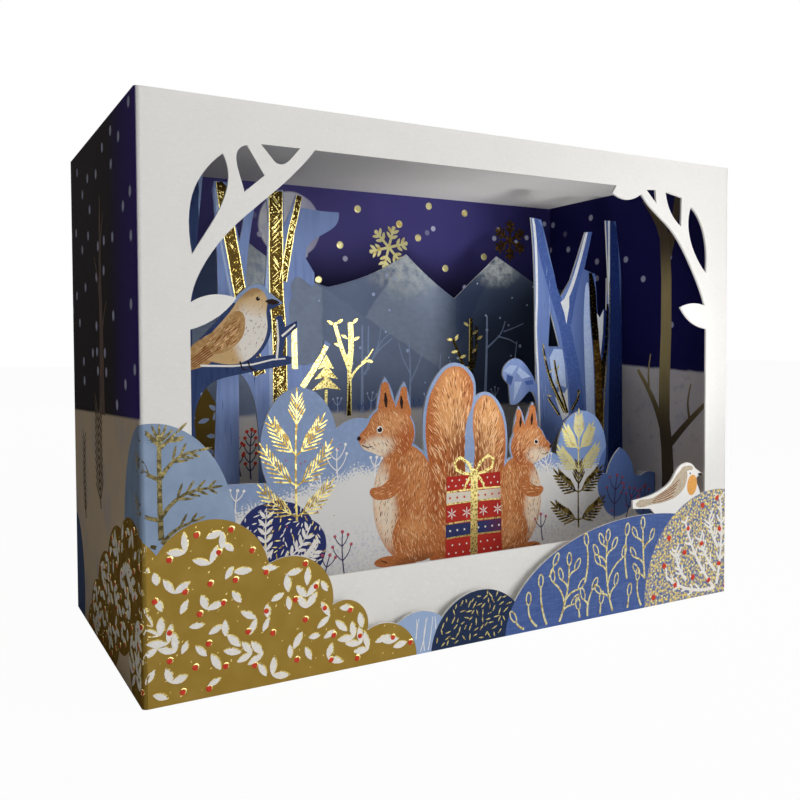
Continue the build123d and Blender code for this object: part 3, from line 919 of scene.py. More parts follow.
# %% Trees
trees = Painter("tree_ink", (142, 164, 216), wobble=0.5)
trees.mottle(3.0, 0.14, stretch=(1, 1, 7), detail=5.0)
trees.lay((108, 132, 190), trees.spots(1.6, 0.3, 0.15, stretch=(1, 1, 9), detail=4.0), 0.5)
trees.lay((176, 192, 230), trees.spots(1.1, 0.22, 0.1, stretch=(1, 1, 12), detail=4.0), 0.45)
trees.lay((94, 118, 176), trees.right_of(38, soft=2), 0.75)
trees.lay((72, 96, 156), trees.right_of(57, soft=6), 0.75)
trees.lay((56, 80, 138), trees.left_of(-63, soft=3), 0.8)
snow_ground(trees, trees.below(0, 21, soft=0.8))
tree_material = trees.finish(grain=0.35)
front_film("tree_print", "tree_panel", tree_face, tree_material)

# %% Hill, trunk and bough
HILL_BLUE = (140, 160, 196)
hill = Painter("hill_ink", HILL_BLUE, wobble=0.5)
hill.mottle(4.0, 0.10, detail=5.0)
hill.lay((160, 182, 222), hill.spots(1.0, 0.3, 0.15, detail=4.0), 0.35)
hill.lay((134, 164, 224), hill.right_of(34, soft=6), 0.6)


def snow_under(x_from, x_to, z, slope):
    """Snow below a sprayed line, between two places along the hill."""
    under = hill.below((x_from + x_to) / 2, z, slope, soft=0.9, speckle=9.0)
    span = hill.less(hill.right_of(x_from, soft=1.5), hill.right_of(x_to, soft=1.5))
    return hill.both(under, span)


hill.lay((226, 226, 224), snow_under(-76, -20, 29, 14))
hill.lay((226, 226, 224), snow_under(-22, 80, 33.5, -3))
hill.lay((168, 178, 208), hill.both(
    hill.below(0, 22, soft=5), hill.spots(0.7, 0.35, 0.12, detail=3.0)), 0.5)
shrubs = oval_mask(hill, [(60.0, 28, 7.6, 11), (71.5, 22.4, 6.4, 6.8)], 0.3)
hill.lay((96, 124, 186), shrubs)
hill.lay((160, 184, 226), hill.both(shrubs, hill.spots(1.1, 0.12, 0.08, detail=3.0)), 0.7)
round_bush = [(-40.6, 22.0, 9.4, 8.6), (-33.6, 19.6, 5.2, 6.2)]
hill.lay((46, 54, 108), oval_mask(hill, round_bush, 0.15))
trunk = hill.both(hill.left_of(-57, soft=0.1), hill.above(0, 27.2, soft=0.2))
bough = hill.both(hill.left_of(-35, soft=0.1), hill.above(-46, 56.2, slope=7, soft=0.15))
dark_bark = hill.math("MAXIMUM", trunk, hill.less(bough, hill.above(0, 74, soft=0.1)))
hill.lay((54, 70, 112), dark_bark)
scratches = hill.spots(0.8, 0.35, 0.12, stretch=(1, 1, 8), detail=4.0)
hill.lay((36, 48, 84), hill.both(dark_bark, scratches), 0.7)
hill_material = hill.finish(grain=0.35)
front_film("hill_print", "branch_panel", branch_face, hill_material)

# %% [markdown]
# ## Gold foil, and the inks of the small drawings
#
# The foil is pressed on hot and comes out crinkled, so it flashes bright in one place and shows dark
# in the next. A metal with one colour would look like brass plate. Two golds, a bright and a dark, are
# mixed by a sharp, fine noise: painted reflection of those flashes and dark places. A finer noise tilts
# the surface. The small inks are matt with a little tooth.


# %% Foil and small inks
def foil(name, bright, dark, crinkle, share=0.5, metallic=1.0, tooth=0.9):
    """Hot-pressed foil; crinkle is the size of its facets in millimetres, tooth how far they tilt."""
    leaf = Painter(name, dark, roughness=0.16 + 0.13 * tooth, metallic=metallic, wobble=0.1,
                   wobble_size=crinkle)
    # The bright gold over the dark is painted reflection: the flashes and dark places of crinkled foil.
    leaf.lay(bright, leaf.spots(crinkle, share, 0.07, detail=2.5))
    return leaf.finish(grain=tooth, relief=0.05, relief_size=crinkle * 0.7)


def small_ink(name, colour, light, size=0.6):
    ink = Painter(name, colour, roughness=0.75, wobble=0.1)
    ink.lay(light, ink.spots(size, 0.35, 0.2), 0.6)
    return ink.finish(grain=0.3)


line_foil = foil("line_foil", (255, 238, 156), (150, 120, 56), 0.5, 0.62)
# This foil is painted dark for the dark inside of the card that it mirrors.
painted_dark_foil = foil("painted_dark_foil", (214, 186, 96), (50, 38, 16), 0.36, 0.2)
dull_foil = foil("dull_foil", (120, 110, 74), (78, 70, 46), 0.7, 0.5)
brown_foil = foil("brown_foil", (132, 100, 40), (84, 60, 22), 0.9, 0.4, metallic=0.4)
needle_foil = foil("needle_foil", (250, 232, 146), (168, 138, 66), 1.5, 0.5, tooth=0.6)
# Below, a foil painted pale, for foil that catches the light, and the same gold painted darker, for foil in
# shade.
painted_light_foil = foil("painted_light_foil", (255, 246, 178), (236, 208, 118), 1.5, 0.7, metallic=0.4, tooth=0.3)
shaded_foil = foil("shaded_foil", (196, 174, 96), (104, 88, 42), 1.5, 0.5, tooth=0.3)
sprig_foil = foil("sprig_foil", (255, 246, 190), (206, 178, 104), 0.8, 0.6, metallic=0.6, tooth=0.6)
glitter = foil("gold_glitter", (255, 244, 176), (226, 196, 96), 0.5, 0.6, metallic=0.5)
white_ink = small_ink("white_ink", (240, 236, 230), (255, 252, 248))
red_ink = small_ink("red_ink", (206, 62, 44), (232, 96, 70))
frost_ink = small_ink("frost_ink", (176, 196, 232), (206, 220, 244))
plum_ink = small_ink("plum_ink", (66, 58, 92), (96, 84, 122))
dusk_ink = small_ink("dusk_ink", (70, 94, 158), (92, 116, 180))
slate_ink = small_ink("slate_ink", (150, 168, 204), (176, 192, 222))


# %% [markdown]
# ## Leaves and berries on the gold bush
#
# The gold bush is strewn with small sprigs of white leaves. Each leaf has foil at its edge, which
# shows as a bright sliver on one side because the foil was pressed a touch off the ink. The sprigs
# are dropped at random but never nearer to one another than a set distance.


# %% Strewing
def strewn(rng, ovals, spacing, along_range, up_range, inset, avoid=(), tries=4000):
    """Places inside the ovals, at least spacing apart, and outside any bush printed in front."""
    places = []
    for _ in range(tries):
        s, z = rng.uniform(*along_range), rng.uniform(*up_range)
        if not within(ovals, s, z, inset) or within(avoid, s, z, -0.6):
            continue
        if all(math.dist((s, z), other) >= spacing for other in places):
            places.append((s, z))
    return places


# %% Leaves and berries on the gold bush
rng = random.Random(4)
leaf_white, leaf_foil, bush_berries = Plate(0.055), Plate(0.045), Plate(0.09)
leaf_middles = []
gold_reach = (left_face - 56, left_face + 57)
LEAF_STEP = 2.2


def foil_edged_leaf(s, z, turn, length, width):
    """A white leaf over a foil one, if it stays on the bush and clear of the leaves before it."""
    middle = turned((s, z), turn, length / 2)
    tip = turned((s, z), turn, length)
    on_bush = min(z, tip[1]) >= 0.7 and within(gold_ovals, s, z, 0.35) and within(gold_ovals, *tip, 0.35)
    if on_bush and all(math.dist(middle, other) >= 1.75 for other in leaf_middles):
        leaf_middles.append(middle)
        leaf_foil.stamp(leaf_die, s + 0.12, z + 0.10, turn, length * 1.06, width * 1.16)
        leaf_white.stamp(leaf_die, s, z, turn, length, width)


def leaf_sprig(s, z, lean, pairs):
    """A sprig of white leaves in pairs along a short line, with one at its tip; no stem is drawn."""
    for step in range(pairs):
        foot = turned((s, z), lean, step * LEAF_STEP)
        for side in (-1, 1):
            turn = lean + side * rng.uniform(30, 48)
            foil_edged_leaf(*foot, turn, rng.uniform(3.0, 3.9), rng.uniform(2.9, 3.6))
    foil_edged_leaf(*turned((s, z), lean, pairs * LEAF_STEP), lean, 3.5, 3.2)


for s, z in strewn(rng, gold_ovals, 6.0, gold_reach, (1.5, 36), 1.2):
    lean = rng.uniform(0, 360)
    kind = rng.random()
    if kind < 0.5:
        leaf_sprig(*turned((s, z), lean, -2.0), lean, rng.choice((2, 3)))
    elif kind < 0.85:
        for spread in (-70, -22, 24, 66)[: rng.choice((3, 4))]:
            foil_edged_leaf(s, z, lean + spread, rng.uniform(2.8, 3.6), rng.uniform(2.8, 3.5))
    else:
        foil_edged_leaf(s, z, lean, 3.6, 3.4)
for s, z in strewn(rng, gold_ovals, 3.6, gold_reach, (1.5, 36), 1.2):
    foil_edged_leaf(s, z, rng.uniform(0, 360), rng.uniform(2.4, 3.2), rng.uniform(2.6, 3.2))
for s, z in strewn(rng, gold_ovals, 4.4, gold_reach, (1.4, 36), 0.8):
    leaf_foil.dot(s + 0.12, z + 0.1, 1.4, top=0.07)
    bush_berries.dot(s, z, 1.3)
for s, z in strewn(rng, gold_ovals, 1.5, gold_reach, (1.2, 36), 0.5):
    if rng.random() < 0.4:
        leaf_foil.stamp(speck_die, s, z, rng.uniform(0, 90), rng.uniform(0.3, 0.8), rng.uniform(0.2, 0.35))
lay_all(round_outside, (leaf_foil, "gold_bush_foil", line_foil),
        (leaf_white, "gold_bush_leaves", white_ink), (bush_berries, "gold_bush_berries", red_ink))
print("leaves on the gold bush:", len(leaf_middles))

# %% [markdown]
# ## Twig, strokes and dashes on the blue bushes
#
# The pale bush at the left corner has one upright fir twig in dull gold, which runs round the corner.
# The small pale bush has a fan of white hairs, and the navy one short dashes of foil, thrown in
# clumps that each keep to one direction.


# %% Fir twigs
def fir_branch(plate, path, width, needle, spread, needle_width=2.0, from_step=1, keep=None):
    """A stem with needles in pairs that point to its tip and shorten towards it."""
    plate.stroke(path, width, width * 0.55)
    lengths = len(path) - 1
    for step in range(from_step, lengths + 1):
        size = needle * (1.05 - 0.45 * step / lengths)
        for side in (-1, 1):
            turn = heading(path, step) + side * spread
            if keep is None or keep(*turned(path[step], turn, size)):
                plate.stamp(stick_die, *path[step], turn, size, needle_width)
    plate.stamp(stick_die, *path[-1], heading(path, lengths), needle * 0.8, needle_width)


# %% The twig on the pale blue bush
def on_blue_bush(s, z):
    return within(blue_ovals, s, z, 0.5) and not within(gold_ovals, s, z, -0.3)


blue_twig = Plate(0.05)
twig_foot = (left_face + 4.0, 22.0)
twig_tip = (left_face + 3.5, 49.0)
blue_twig.stroke([place for place in arc(twig_foot, twig_tip, 0.01, 20) if on_blue_bush(*place)], 1.05, 0.7)
for height, reach, lean, bulge in (
    (28.6, 5.0, 150, 0.10), (29.4, 10.0, 18, 0.16), (33.6, 6.4, 152, 0.08), (34.2, 9.6, 28, 0.14),
    (40.8, 5.8, 146, 0.06), (41.2, 8.0, 34, 0.14), (46.8, 3.2, 136, 0.0), (46.6, 3.6, 42, 0.0),
):
    start = (left_face + 3.7, height)
    path = [place for place in arc(start, turned(start, lean, reach), bulge, 5) if on_blue_bush(*place)]
    if len(path) > 2:
        fir_branch(blue_twig, path, 0.8, 3.6, 36, needle_width=2.6, from_step=2, keep=on_blue_bush)
for lean in (44, 68, 90, 112, 136):
    blue_twig.stamp(stick_die, *turned(twig_tip, 90, -1.6), lean, 3.6, 2.6)
blue_twig.lay("blue_bush_twig", round_outside, dull_foil)

# %% Hairs on the small pale bush
rng = random.Random(7)
pale_hairs = Plate(0.035)
for i in range(15):
    foot = (-24.5 + i * 0.95, 0.5)
    lean = 84 + (i - 7) * -2.2 + rng.uniform(-7, 7)
    path = [place for place in arc(foot, turned(foot, lean, 7), rng.uniform(-0.08, 0.08), 5)
            if within(pale_ovals, *place, 0.35) and not within(gold_ovals + navy_ovals, *place, -0.2)]
    if len(path) > 2:
        pale_hairs.stroke(path, 0.22, 0.12)
pale_hairs.lay("pale_bush_hairs", round_outside, white_ink)

# %% Dashes on the navy bush
navy_dashes = Plate(0.05)
for s, z in strewn(rng, navy_ovals, 1.2, (-16, 11), (0.8, 12), 0.8, avoid=royal_ovals):
    clump_lean = 55 + 70 * math.sin(s * 0.9 + 1.3) * math.cos(z * 0.7 + s * 0.2)
    navy_dashes.stamp(needle_die, *turned((s, z), clump_lean, -0.5), clump_lean + rng.uniform(-14, 14),
                      rng.uniform(1.1, 1.9), 1.7)
navy_dashes.lay("navy_bush_dashes", round_outside, line_foil)

# %% [markdown]
# ## Stems on the royal blue bush
#
# Fine foil stems climb the big blue bush, with outlined leaves at their ends. They are strokes along
# bowed paths, and the leaf is the ring die, so the blue shows through it.


# %% Royal blue bush
RING_LEAF, STEM = 3.3, 0.56
ring_middles = []


def leafy_stem(plate, base, tip, bulge, leaves, keep):
    """A bowed stem with an outlined leaf at its tip and others on short stalks along it."""
    path = arc(base, tip, bulge, 10)
    kept = [place for place in path if keep(*place)]
    if len(kept) < 3:
        return
    plate.stroke(kept, STEM, STEM * 0.7)
    if kept[-1] == path[-1]:
        ring_middles.append(turned(tip, heading(path, 10), RING_LEAF / 2))
        plate.stamp(ring_leaf_die, *path[-1], heading(path, 10), RING_LEAF)
    for share, side, reach in leaves:
        step = round(share * 10)
        turn = heading(path, step) + side * 48
        end = turned(path[step], turn, reach)
        turn -= side * 22
        leaf_tip, middle = turned(end, turn, RING_LEAF), turned(end, turn, RING_LEAF / 2)
        clear = all(math.dist(middle, other) > 2.15 for other in ring_middles)
        if clear and keep(*path[step]) and keep(*end) and keep(*leaf_tip):
            ring_middles.append(middle)
            plate.stroke(arc(path[step], end, -0.12 * side, 4), STEM * 0.85, STEM * 0.75)
            plate.stamp(ring_leaf_die, *end, turn, RING_LEAF, RING_LEAF * 0.95)


def on_royal_bush(s, z):
    return within(royal_ovals, s, z, 0.9) and z > 0.6 and not within(speckled_ovals, s, z, -0.4)


royal_sprigs = Plate(0.065)
for base, tip, bulge, *leaves in (
    ((19.3, 0.8), (22.2, 13.4), -0.06,
     (0.3, 1, 6.6), (0.45, -1, 4.2), (0.62, 1, 2.6), (0.75, -1, 2.2), (0.2, -1, 2.6), (0.9, 1, 1.4)),
    ((35.6, 0.8), (33.9, 17.6), 0.06,
     (0.35, 1, 8.4), (0.38, -1, 7.6), (0.56, -1, 5.4), (0.74, 1, 3.4), (0.6, 1, 2.6), (0.78, -1, 2.4),
     (0.9, 1, 1.6), (0.2, 1, 3.0), (0.18, -1, 3.2)),
    ((46.8, 2.0), (45.4, 19.4), 0.02,
     (0.5, 1, 3.4), (0.66, -1, 3.2), (0.8, 1, 2.6), (0.3, 1, 2.6), (0.36, -1, 3.4), (0.85, -1, 2.2),
     (0.16, -1, 2.0)),
    ((27.0, 9.0), (27.6, 17.4), -0.06, (0.3, 1, 2.0), (0.5, -1, 2.0), (0.7, 1, 1.6)),
    ((40.2, 8.0), (40.0, 18.4), 0.05, (0.3, -1, 2.0), (0.5, 1, 2.0), (0.75, -1, 1.6)),
    ((12.8, 0.8), (10.4, 5.8), 0.14, (0.5, -1, 1.2)), ((15.6, 0.8), (13.9, 9.4), 0.06),
    ((27.7, 0.8), (29.2, 6.8), 0.08, (0.4, 1, 1.8)), ((31.6, 0.8), (31.9, 3.0), 0.0),
    ((25.4, 0.8), (25.1, 2.6), 0.0), ((40.4, 0.8), (40.8, 3.6), 0.0), ((44.9, 0.8), (43.6, 7.0), 0.08),
    ((49.4, 12.0), (50.8, 18.4), -0.06), ((16.4, 11.6), (17.6, 14.0), 0.0), ((9.2, 0.8), (7.0, 2.6), 0.1),
):
    leafy_stem(royal_sprigs, base, tip, bulge, leaves, on_royal_bush)
royal_sprigs.lay("royal_bush_sprigs", round_outside, sprig_foil)

# %% [markdown]
# ## The speckled bush
#
# The bush at the right corner is thick with gold specks under white twigs and red berries, and runs
# round onto the right-hand side. The specks are one small die in two sizes.

# %% Speckled bush
rng = random.Random(12)
speckled_range = (right_face - 27, right_face + 20)
gold_specks, frost_twigs, rowan_berries = Plate(0.075), Plate(0.095), Plate(0.12)
for s, z in strewn(rng, speckled_ovals, 0.8, speckled_range, (0.5, 27), 0.3, tries=9000):
    plate = gold_specks if rng.random() < 0.9 else frost_twigs
    plate.stamp(speck_die, s, z, rng.uniform(0, 90), rng.uniform(0.45, 0.95), rng.uniform(0.4, 0.7), top=0.07)
for base, tip, bulge in (
    ((70.7, 1.4), (60.0, 19.6), 0.06), ((71.4, 2.4), (72.6, 24.6), -0.05), ((70.6, 1.6), (53.4, 6.6), 0.10),
    ((70.9, 6.0), (65.4, 14.6), 0.06), ((60.4, 5.0), (56.6, 12.6), 0.10), ((71.9, 12.0), (68.6, 19.6), 0.06),
    ((right_face + 9, 1.4), (right_face + 7.5, 22), -0.06),
    ((right_face + 6, 1.4), (right_face + 15, 11), 0.10),
):
    path = [place for place in arc(base, tip, bulge, 7) if within(speckled_ovals, *place, 0.8)]
    frost_twigs.stroke(path, 0.85, 0.6)
    for step in range(2, len(path)):
        for side in (-1, 1):
            lean = side * rng.uniform(34, 50)
            end = turned(path[step], heading(path, step) + lean, rng.uniform(1.6, 3.0))
            if within(speckled_ovals, *end, 0.5) and end[1] > 0.8 and rng.random() < 0.75:
                frost_twigs.stroke(arc(path[step], end, 0.06 * side, 3), 0.6, 0.48)
for s, z in strewn(rng, speckled_ovals, 5.4, speckled_range, (1.6, 25.5), 1.2):
    rowan_berries.dot(s, z, 1.6)
lay_all(round_outside, (gold_specks, "speckled_bush_foil", glitter),
        (frost_twigs, "speckled_bush_twigs", white_ink), (rowan_berries, "speckled_bush_berries", red_ink))

# %% [markdown]
# ## Fir twigs, sprigs and the round bush on the hill
#
# Two upright fir twigs in foil stand at either side of the clearing. Each is a stem with side twigs
# in pairs, and each of those a short stem with close needles, so one function makes all of them.
# White sprigs with dots at their ends and thin plum twigs fill the ground between.


# %% Fir twigs on the hill
def fir_twig(plate, foot, tip, tiers, needle=4.5, spread=30, thick=1.9):
    """An upright twig; tiers gives each pair of side twigs: height up the stem, length and lean."""
    plate.stroke(arc(foot, tip, 0.01, 8), 0.5, 0.3)
    upright = heading((foot, tip), 0)
    for share, reach, lean in tiers:
        start = between(foot, tip, share)
        for side in (-1, 1):
            path = arc(start, turned(start, upright + side * lean, reach), 0.06 * side, 7)
            fir_branch(plate, path, 0.375, needle, spread, needle_width=thick)
    top_twig = arc(turned(tip, upright + 180, 6.0), tip, 0, 5)
    fir_branch(plate, top_twig, 0.35, needle, spread, needle_width=thick)


# The right-hand fir's lower tiers are in a darker foil and its upper tiers in a pale one: painted shade below
# and painted light above.
hill_firs, shaded_fir, bright_fir = Plate(0.06), Plate(0.06), Plate(0.065)
fir_twig(hill_firs, (-35.6, 25.5), (-35.4, 52.0),
         ((0.04, 9.0, 52), (0.30, 10.0, 44), (0.56, 8.2, 40)))
fir_twig(shaded_fir, (45.8, 15.6), (45.8, 32.0), ((0.12, 8.0, 62), (0.58, 7.8, 55)),
         needle=4.4, spread=32, thick=3.0)
fir_twig(bright_fir, (45.8, 30.6), (45.8, 44.4), ((0.04, 7.2, 50), (0.44, 6.0, 40)),
         needle=4.2, spread=31, thick=3.0)
lay_all(on_branch, (hill_firs, "hill_fir_twig", needle_foil),
        (shaded_fir, "hill_shaded_fir_twig", shaded_foil), (bright_fir, "hill_bright_fir_twig", painted_light_foil))


# %% White sprigs and plum twigs
def dotted_sprigs(stems, dots, dot, width, *sprigs):
    """Thin stems with side stems in pairs, and a dot at the end of each; a pair is a step and a reach."""
    for foot, tip, *pairs in sprigs:
        path = arc(foot, tip, 0.03, 6)
        stems.stroke(path, width, width * 0.7)
        dots.dot(*tip, dot)
        upright = heading((foot, tip), 0)
        for step, reach in pairs:
            for side in (-1, 1):
                end = turned(path[step], upright + side * 34, reach)
                stems.stroke(arc(path[step], end, 0.1 * side, 4), width * 0.8, width * 0.6)
                dots.dot(*end, dot * 0.9)


hill_sprigs, plum_twigs, plum_dots, red_dots = Plate(0.04), Plate(0.05), Plate(0.06), Plate(0.06)
dotted_sprigs(
    hill_sprigs, hill_sprigs, 0.95, 0.3,
    ((-25.4, 33.6), (-25.6, 41.0), (2, 4.6), (4, 4.2)), ((-49.8, 28.9), (-49.2, 33.6), (3, 2.8)),
    ((-27.8, 30.6), (-31.6, 35.2), (3, 2.4)), ((35.6, 30.8), (34.4, 35.6), (2, 4.0), (4, 2.8)),
    ((-16.0, 34.0), (-15.4, 38.6), (3, 2.6)))
dotted_sprigs(
    plum_twigs, plum_dots, 1.0, 0.34,
    ((-24.0, 12.0), (-24.4, 22.0), (2, 4.2), (4, 3.0)), ((-29.0, 11.5), (-27.6, 17.0), (3, 3.0)),
    ((58.6, 16.6), (59.6, 28.6), (2, 5.6), (4, 4.2)), ((63.0, 16.4), (66.2, 24.4), (2, 4.2), (4, 3.0)),
    ((33.6, 13.4), (33.0, 20.4), (3, 3.2)), ((69.6, 17.6), (70.4, 25.0), (3, 3.0)))
rng = random.Random(3)
for count, along, up, size in ((26, (-44, -24), (24, 44), (0.25, 0.5)), (10, (52, 70), (18, 31), (0.5, 0.9))):
    for _ in range(count):
        red_dots.dot(rng.uniform(*along), rng.uniform(*up), rng.uniform(*size))
rose_ink = small_ink("rose_ink", (176, 78, 96), (208, 120, 130))
lay_all(on_branch, (hill_sprigs, "hill_white_sprigs", white_ink), (plum_twigs, "hill_plum_twigs", plum_ink),
        (plum_dots, "hill_plum_berries", rose_ink), (red_dots, "hill_red_dots", rose_ink))

# %% The round navy bush
bush_twigs, bush_dashes = Plate(0.05), Plate(0.055)


def on_round_bush(s, z):
    return within(round_bush, s, z, 0.6)


for foot, tip, bulge in (((-42.0, 14.5), (-42.6, 28.6), 0.05), ((-41.6, 15.5), (-32.2, 24.6), -0.12),
                         ((-43.4, 14.8), (-48.2, 23.6), 0.1), ((-37, 15), (-30.6, 19.6), -0.1)):
    path = [place for place in arc(foot, tip, bulge, 8) if on_round_bush(*place)]
    bush_twigs.stroke(path, 0.42, 0.3)
    for step in range(2, len(path)):
        for turn in (heading(path, step) - 44, heading(path, step) + 44):
            if on_round_bush(*turned(path[step], turn, 2.6)):
                bush_twigs.stamp(leaf_die, *path[step], turn, 2.5, 2.0)
for s, z in strewn(rng, round_bush, 1.25, (-52, -27), (13, 31), 0.7):
    lean = 60 + 70 * math.sin(s * 0.8) * math.cos(z * 0.6)
    plate = bush_dashes if rng.random() < 0.4 else bush_twigs
    plate.stamp(needle_die, s, z, lean, rng.uniform(1.0, 1.7), 1.7)
lay_all(on_branch, (bush_twigs, "round_bush_twigs", white_ink), (bush_dashes, "round_bush_dashes", line_foil))

# %% [markdown]
# ## Two squirrels and their parcel
#
# In the middle of the card sit two russet squirrels in soft pencil, with a wrapped parcel between
# their tails. Each part of an animal is its own outline just inside the cut edge, so the blue of the
# sheet shows as a thin rim. The fur is two things at once: soft patches of colour by the painter, and
# hundreds of short pencil strokes stamped with one die, which follow the way that the fur lies.


# %% Fur
def fur(name, patches, base=(186, 112, 64)):
    """Russet fur; patches are (colour, x, z, half width, half height, turn, softness, strength)."""
    coat = Painter(name, base, roughness=0.85, wobble=0.5, wobble_size=1.5)
    coat.mottle(2.2, 0.16, detail=5.0)
    coat.lay((222, 158, 104), coat.spots(0.5, 0.34, 0.14, detail=4.0), 0.55)
    coat.lay((132, 70, 38), coat.spots(0.42, 0.24, 0.12, detail=4.0), 0.45)
    for colour, x, z, half_width, half_height, turn, soft, strength in patches:
        mask = coat.oval(x, z, half_width, half_height, turn, soft)
        ragged = coat.both(mask, coat.math("ADD", 0.72, coat.math("MULTIPLY", coat.noise(0.5, 4.0), 0.5)))
        coat.lay(colour, ragged, strength)
    return coat.finish(grain=0.4)


CREAM = (236, 222, 200)
UMBER = (98, 54, 34)
RUST = (168, 84, 44)


# %% Outlines, and strokes combed into them
def ellipse_outline(x, z, half_width, half_height, turn=0.0):
    cos, sin = math.cos(math.radians(turn)), math.sin(math.radians(turn))
    rays = (2 * math.pi * i / 20 for i in range(20))
    places = ((half_width * math.cos(ray), half_height * math.sin(ray)) for ray in rays)
    return [(x + along * cos - up * sin, z + along * sin + up * cos) for along, up in places]


def inside_outline(outline, s, z):
    """True inside a closed outline: a line to the right crosses it an odd number of times."""
    crossings = 0
    for (s0, z0), (s1, z1) in zip(outline, outline[1:] + outline[:1]):
        if (z0 > z) != (z1 > z) and s < s0 + (s1 - s0) * (z - z0) / (z1 - z0):
            crossings += 1
    return crossings % 2 == 1


def comb(plate, rng, outline, lie, count, length, top):
    """Short pencil strokes kept in an outline; lie is their direction, or gives it for a place."""
    reaches = [(min(values), max(values)) for values in zip(*outline)]
    for _ in range(count):
        s, z = rng.uniform(*reaches[0]), rng.uniform(*reaches[1])
        turn = (lie(s, z) if callable(lie) else lie) + rng.uniform(-16, 16)
        reach = length * rng.uniform(0.6, 1.25)
        if inside_outline(outline, s, z) and inside_outline(outline, *turned((s, z), turn, reach)):
            plate.stamp(needle_die, s, z, turn, reach, reach * 0.55, top=top)


def print_patch(name, surface, material, top, *outlines):
    """One flat printed piece, from its outlines."""
    plate = Plate(top)
    for outline in outlines:
        plate.patch(outline)
    plate.lay(name + "_print", surface, material)


# %% Places on a squirrel
class Squirrel:
    """The places on one squirrel: drawn as it looks left, and mirrored and scaled for the other."""

    def __init__(self, name, middle, scale, mirror, tail, seed):
        self.name, self.middle, self.scale, self.mirror = name, middle, scale, mirror
        self.tail = tail
        self.rng = random.Random(seed)

    def at(self, x, z):
        """From the drawing of the larger squirrel to the sheet."""
        return (self.middle[0] + self.mirror * (x + 7.4) * self.scale,
                self.middle[1] + (z - 27) * self.scale)

    def shape(self, outline):
        return [self.at(x, z) for x, z in outline]

    def oval(self, x, z, half_width, half_height, turn=0):
        return self.shape(ellipse_outline(x, z, half_width, half_height, turn))

    def patch_at(self, colour, x, z, half_width, half_height, turn=0, soft=0.9, strength=0.9):
        """A patch of colour for the painter."""
        return (colour, *self.at(x, z), half_width * self.scale, half_height * self.scale,
                self.mirror * turn, soft, strength)

    def lie(self, angle):
        return angle if self.mirror > 0 else 180 - angle


